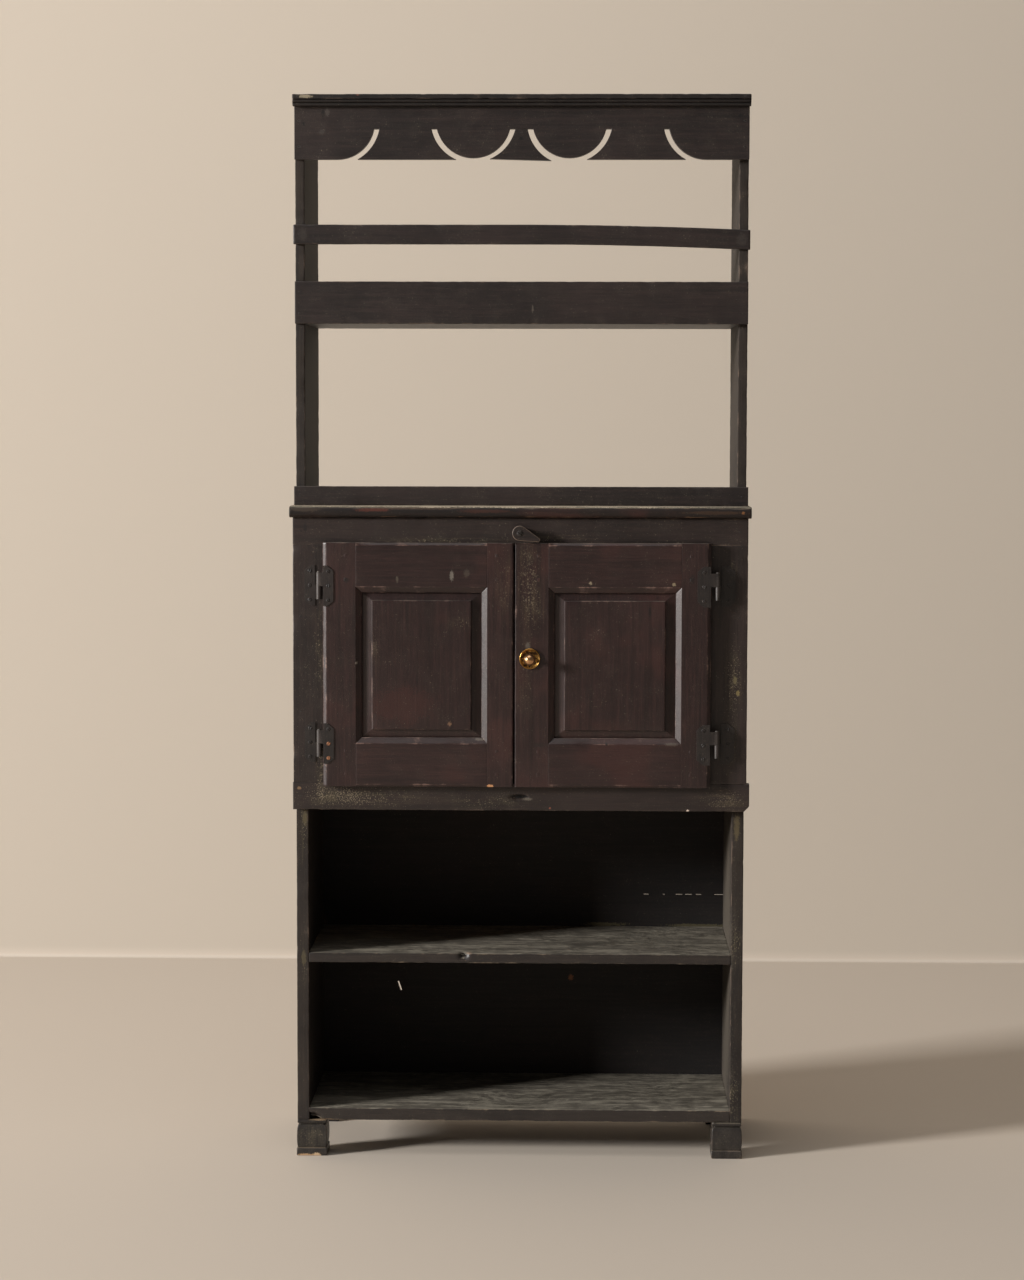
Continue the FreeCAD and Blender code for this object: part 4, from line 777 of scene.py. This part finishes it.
# The bevelled edges of the iron are painted lighter: rubbed paint, and a painted highlight along them.
iron_edge_wear_and_highlight = old_paint(
    "iron_edge_wear_and_highlight", (66, 58, 54), (98, 88, 80), film=0.08, shine=0.3, gloss=0.9, specks=0.3)
rust = old_paint("rusty_head", (128, 82, 52), (160, 112, 78), (90, 50, 30), shine=0.6)
iron = [iron_paint, iron_edge_wear_and_highlight]
for height in ("upper", "lower"):
    for side in ("left", "right"):
        for part, body in (("frame_leaf", "cabinet"), ("door_leaf", side + "_door")):
            node = f"{height}_{side}_hinge_{part}"
            softened(node, 0.75 * mm, iron, node + "_iron", 150, body, along="z")
softened("hinge_pins", 0.4 * mm, iron, "hinge_pins_iron", 151, along="z")


def turned(profile, x, z, sides=48):
    """A profile of (radius, y) points turned about an axis that points backwards, from front to back."""
    radius, depth = np.array(profile, float).T
    angle = np.linspace(0, 2 * math.pi, sides, endpoint=False)
    across, up = radius[:, None] * np.cos(angle), radius[:, None] * np.sin(angle)
    points = np.dstack([x + across, np.broadcast_to(depth[:, None], across.shape), z + up])
    grain = points[..., [1, 0, 2]].reshape(-1, 3)
    return {"points": points.reshape(-1, 3), "faces": joined_rings(points), "grain": grain,
            "arris": np.full(len(radius) * sides, never_worn)}


def screw_head(x, z, y, radius, tall, slant, sides=40):
    """A low dome, tall (0.35 + 0.6 (1 - (r/R)^2)^0.5), with a slot sawn across it: points within half a
    millimetre of a line through the middle lie deeper. A shank goes on behind."""
    share = np.array([0.12, 0.3, 0.42, 0.52, 0.64, 0.78, 0.9, 0.97, 1.0])
    rise = np.concatenate([tall * (0.35 + 0.6 * np.sqrt(1 - share ** 2)), [0, 0, -6 * mm]])
    out = np.concatenate([share, [1, 0.45, 0.45]]) * radius
    shell = turned(np.stack([out, y - rise], 1), x, z, sides)
    points = shell["points"]
    off = (points[:, 0] - x) * math.sin(slant) + (points[:, 2] - z) * math.cos(slant)
    slot = np.exp(-(off / (0.5 * mm)) ** 4) * (points[:, 1] < y - 0.2 * tall)
    points[:, 1] += slot * tall * 0.75
    return shell


on_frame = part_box("face_top_rail")[0].y / mm - leaf_thick
on_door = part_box("left_door_lock_stile")[0].y / mm - leaf_thick
# Each group of screws: the x of its columns, what the heads lie on, and the body that they ride on.
groups = {"frame_hinge_screws": ((-363.5, 360), on_frame, "cabinet"),
          "left_door_hinge_screws": ((-330,), on_door, "left_door"),
          "right_door_hinge_screws": ((317,), on_door, "right_door")}
for node, (columns, face, body) in groups.items():
    rng = np.random.default_rng(160 + len(columns))
    heads = [screw_head(x * mm, (z + step) * mm, face * mm, 3.3 * mm, 1.0 * mm, rng.uniform(0, math.pi))
             for x in columns for z in hinge_heights for step in (-25, 0, 25)]
    piece = make_piece(node + "_slotted", heads, iron_paint, node, body)
    if body == "left_door":
        piece.data.materials.append(rust)
        of_head = np.repeat(np.arange(len(heads)), [len(head["faces"]) for head in heads])
        rusty = np.isin(of_head, (0, 1)).astype(np.int32)
        piece.data.polygons.foreach_set("material_index", rusty)


# Knob: a brass ball on a waisted neck, seated in a dished round plate and held by a screw from
# behind. Both are polished where hands touch them and brown in the hollows.
def old_brass(name, bright, brown, low, high):
    """Brass with fine scratches, bright where y is low and brown where y is high, and in the hollows."""
    material, place, shader = start_finish(name)
    depth = place.node("SeparateXYZ", None, {0: place}, 1)
    clouds, fine = place.noise(190, 4, 0.6), place.noise(900, 3, 0.6)
    tarnish = (depth + (clouds - 0.5) * 0.006).fade(low, high) * 0.9 + clouds.fade(0.5, 0.7) * 0.35
    wire(shader, Base_Color=tarnish.between(seen(*bright), seen(*brown)),
         Roughness=0.24 + tarnish * 0.25 + fine * 0.08, Normal=(clouds + fine * 0.5).bump(0.25, 0.0004))
    shader.inputs["Metallic"].default_value = 1.0
    return material


knob_low, knob_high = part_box("knob")
knob_x, knob_z = (knob_low.x + knob_high.x) / 2, (knob_low.z + knob_high.z) / 2
plate_y, door_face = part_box("knob_rose")[0].y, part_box("knob_rose")[1].y
ball, front = 9.9 * mm, knob_low.y
swing = np.linspace(0.03, math.pi - 0.44, 22)
ball_profile = np.stack([ball * np.sin(swing), front + ball - ball * np.cos(swing)], 1)
neck = [(3.8, -13.35), (3.5, -11.95), (3.4, -9.75), (3.5, -7.35), (3.9, -5.55), (4.5, -4.65), (4.5, -0.05)]
neck_profile = np.array(neck) * mm + [0, door_face]
knob_shape = turned(np.vstack([ball_profile, neck_profile]), knob_x, knob_z)
ball_brass = old_brass("ball_brass", (206, 160, 116), (84, 56, 38), front + 12 * mm, front + 21 * mm)
make_piece("knob_ball", [knob_shape], ball_brass, "knob", "right_door")
rose = [(4.6, 2.2), (8, 2.25), (12, 2.2), (14.6, 2), (15.4, 1.5), (15.9, 0.8), (16.4, 0.25), (17, 0),
        (17.5, 0.3), (17.9, 1.1), (18, 2.2), (18, 4.4), (4.6, 4.4)]
rose_profile = np.array(rose) * mm + [0, plate_y]
rose_shape = turned(np.vstack([rose_profile, rose_profile[:1]]), knob_x, knob_z, 72)
rose_brass = old_brass("rose_brass", (206, 160, 88), (56, 39, 26), plate_y + 1.2 * mm, plate_y + 2.2 * mm)
make_piece("knob_plate", [rose_shape], rose_brass, "knob_rose", "right_door")


# Turn button: a tear-shaped block of pine that swings on one screw and holds both doors shut. Its
# rounded edge is painted pale: rubbed by fingers, and also a painted highlight.
button_edge_wear_and_highlight = old_paint("button_edge_wear_and_highlight", (84, 70, 60), (108, 92, 78), shine=0.38)
softened("turn_button", 1.5 * mm, [frame_paint, button_edge_wear_and_highlight], "turn_button_block", 181, "turn_button",
         segments=3)
low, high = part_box("turn_button_screw")
tall = 1.8 * mm
head = screw_head((low.x + high.x) / 2, (low.z + high.z) / 2, low.y + tall, 4.9 * mm, tall, 0.5, 48)
make_piece("turn_button_round_screw", [head], iron_paint, "turn_button_screw")


# Cut nails: square brads, painted over, whose front heads stand a little proud. The knob's screw goes
# in from behind.
softened("cut_nails", 0.3 * mm, [iron_paint], "cut_nail_heads", 191, proud=(-85, 1000))
dress(old_paint("bare_iron", (52, 48, 46), (84, 76, 70), shine=0.4, along="z"), "knob_screw")


# Floor and wall: a pale floor all round, and a pale wall close behind the cupboard that has no back,
# so it hides nothing from the other side. Far off, both fade into the pale world round them.
reach, cove, wall_y, wall_tall, faded = 20, 8 * mm, 1.78, 9, 4.4


def sheet(y, z):
    """A curve of points (y, z) carried across the room, from x = -reach to x = reach."""
    x = np.array([[-reach], [reach]], float)
    points = np.stack(np.broadcast_arrays(x, np.array(y, float), np.array(z, float)), -1).reshape(-1, 3)
    index = np.arange(2 * len(y)).reshape(2, len(y))
    return points, np.stack([index[0, :-1], index[1, :-1], index[1, 1:], index[0, 1:]], -1)


arc = np.linspace(0, math.pi / 2, 9)
floor_points, floor_quads = sheet([-reach, reach], [0, 0])
wall_points, wall_quads = sheet([*(wall_y - cove + cove * np.sin(arc)), wall_y],
                                [*(cove - cove * np.cos(arc)), wall_tall])
stage_mesh = bpy.data.meshes.new("floor_and_wall")
stage_mesh.from_pydata(np.vstack([floor_points, wall_points]).tolist(), [],
                       floor_quads.tolist() + (wall_quads + len(floor_points)).tolist())
stage_mesh.shade_smooth()
stage_paint, place, shader = start_finish("stage_paint")
depth, height = (place.node("SeparateXYZ", None, {0: place}, number) for number in (1, 2))
stage_colour = height.fade(0, 0.03).between(seen(206, 194, 180), seen(193, 182, 168))
# The floor behind the wall is painted paler: painted light, standing in for the light that the wall would
# send it.
behind = depth.fade(wall_y + 0.5 * mm, wall_y + 2.5 * mm) * (1 - depth.fade(wall_y + 20 * mm, faded))
wire(shader, Base_Color=stage_colour.over(behind, seen(246, 229, 207)))
shader.inputs["Roughness"].default_value = 0.9
away = place.stretched(1, 1, 0).length()
from_behind, by_camera = place.node("NewGeometry", output=6), place.node("LightPath", output=0)
clear = 1 - (1 - from_behind) * (1 - by_camera * away.fade(2.4, faded))
solid, nothing = Tone(place.tree, shader.outputs[0]), place.node("BsdfTransparent")
cut = place.node("MixShader", None, {0: clear, 1: solid, 2: nothing})
place.tree.links.new(cut.socket, place.tree.nodes["Material Output"].inputs["Surface"])
backdrop = bpy.data.objects.new("floor_and_wall", stage_mesh)
into_scene(backdrop)
stage_mesh.materials.append(stage_paint)


# Light: a broad window far to the left, a little above and in front, a weak ceiling and a faint sky.
lights = (("window", (-12.3, -5.9, 4.2), (0, 0, 1), (2.1, 2.4), 2750, (1, 0.985, 0.965)),
          ("ceiling", (-0.6, -1.2, 4.7), (0, -0.4, 0), (3.2, 3.2), 48, (1, 0.98, 0.96)))
for name, stand, aim, size, power, colour in lights:
    lamp = bpy.data.objects.new(name, bpy.data.lights.new(name, "AREA"))
    lamp.data.shape = "RECTANGLE"
    lamp.data.size, lamp.data.size_y = size
    lamp.data.energy, lamp.data.color = power, colour
    into_scene(lamp)
    turn = (Vector(aim) - Vector(stand)).to_track_quat("-Z", "Y").to_matrix().to_4x4()
    lamp.matrix_world = Matrix.Translation(stand) @ turn
    lamp.visible_camera = False
world = bpy.data.worlds.new("studio")
world.use_nodes = True
sky = Tone(world.node_tree)
camera_ray, glossy_ray, through_ray = (sky.node("LightPath", output=number) for number in (0, 3, 6))
faint = sky.node("Background", None, {"Color": (1.0, 0.985, 0.97, 1.0), "Strength": 0.06})
pale = sky.node("Background", None, {"Color": seen(198, 185, 169), "Strength": 1.0})
both = sky.node("MixShader", None, {0: camera_ray + (glossy_ray + through_ray) * 0.1, 1: faint, 2: pale})
world.node_tree.links.new(both.socket, world.node_tree.nodes["World Output"].inputs["Surface"])
bpy.context.scene.world = world
bpy.context.scene.view_settings.view_transform = "Standard"
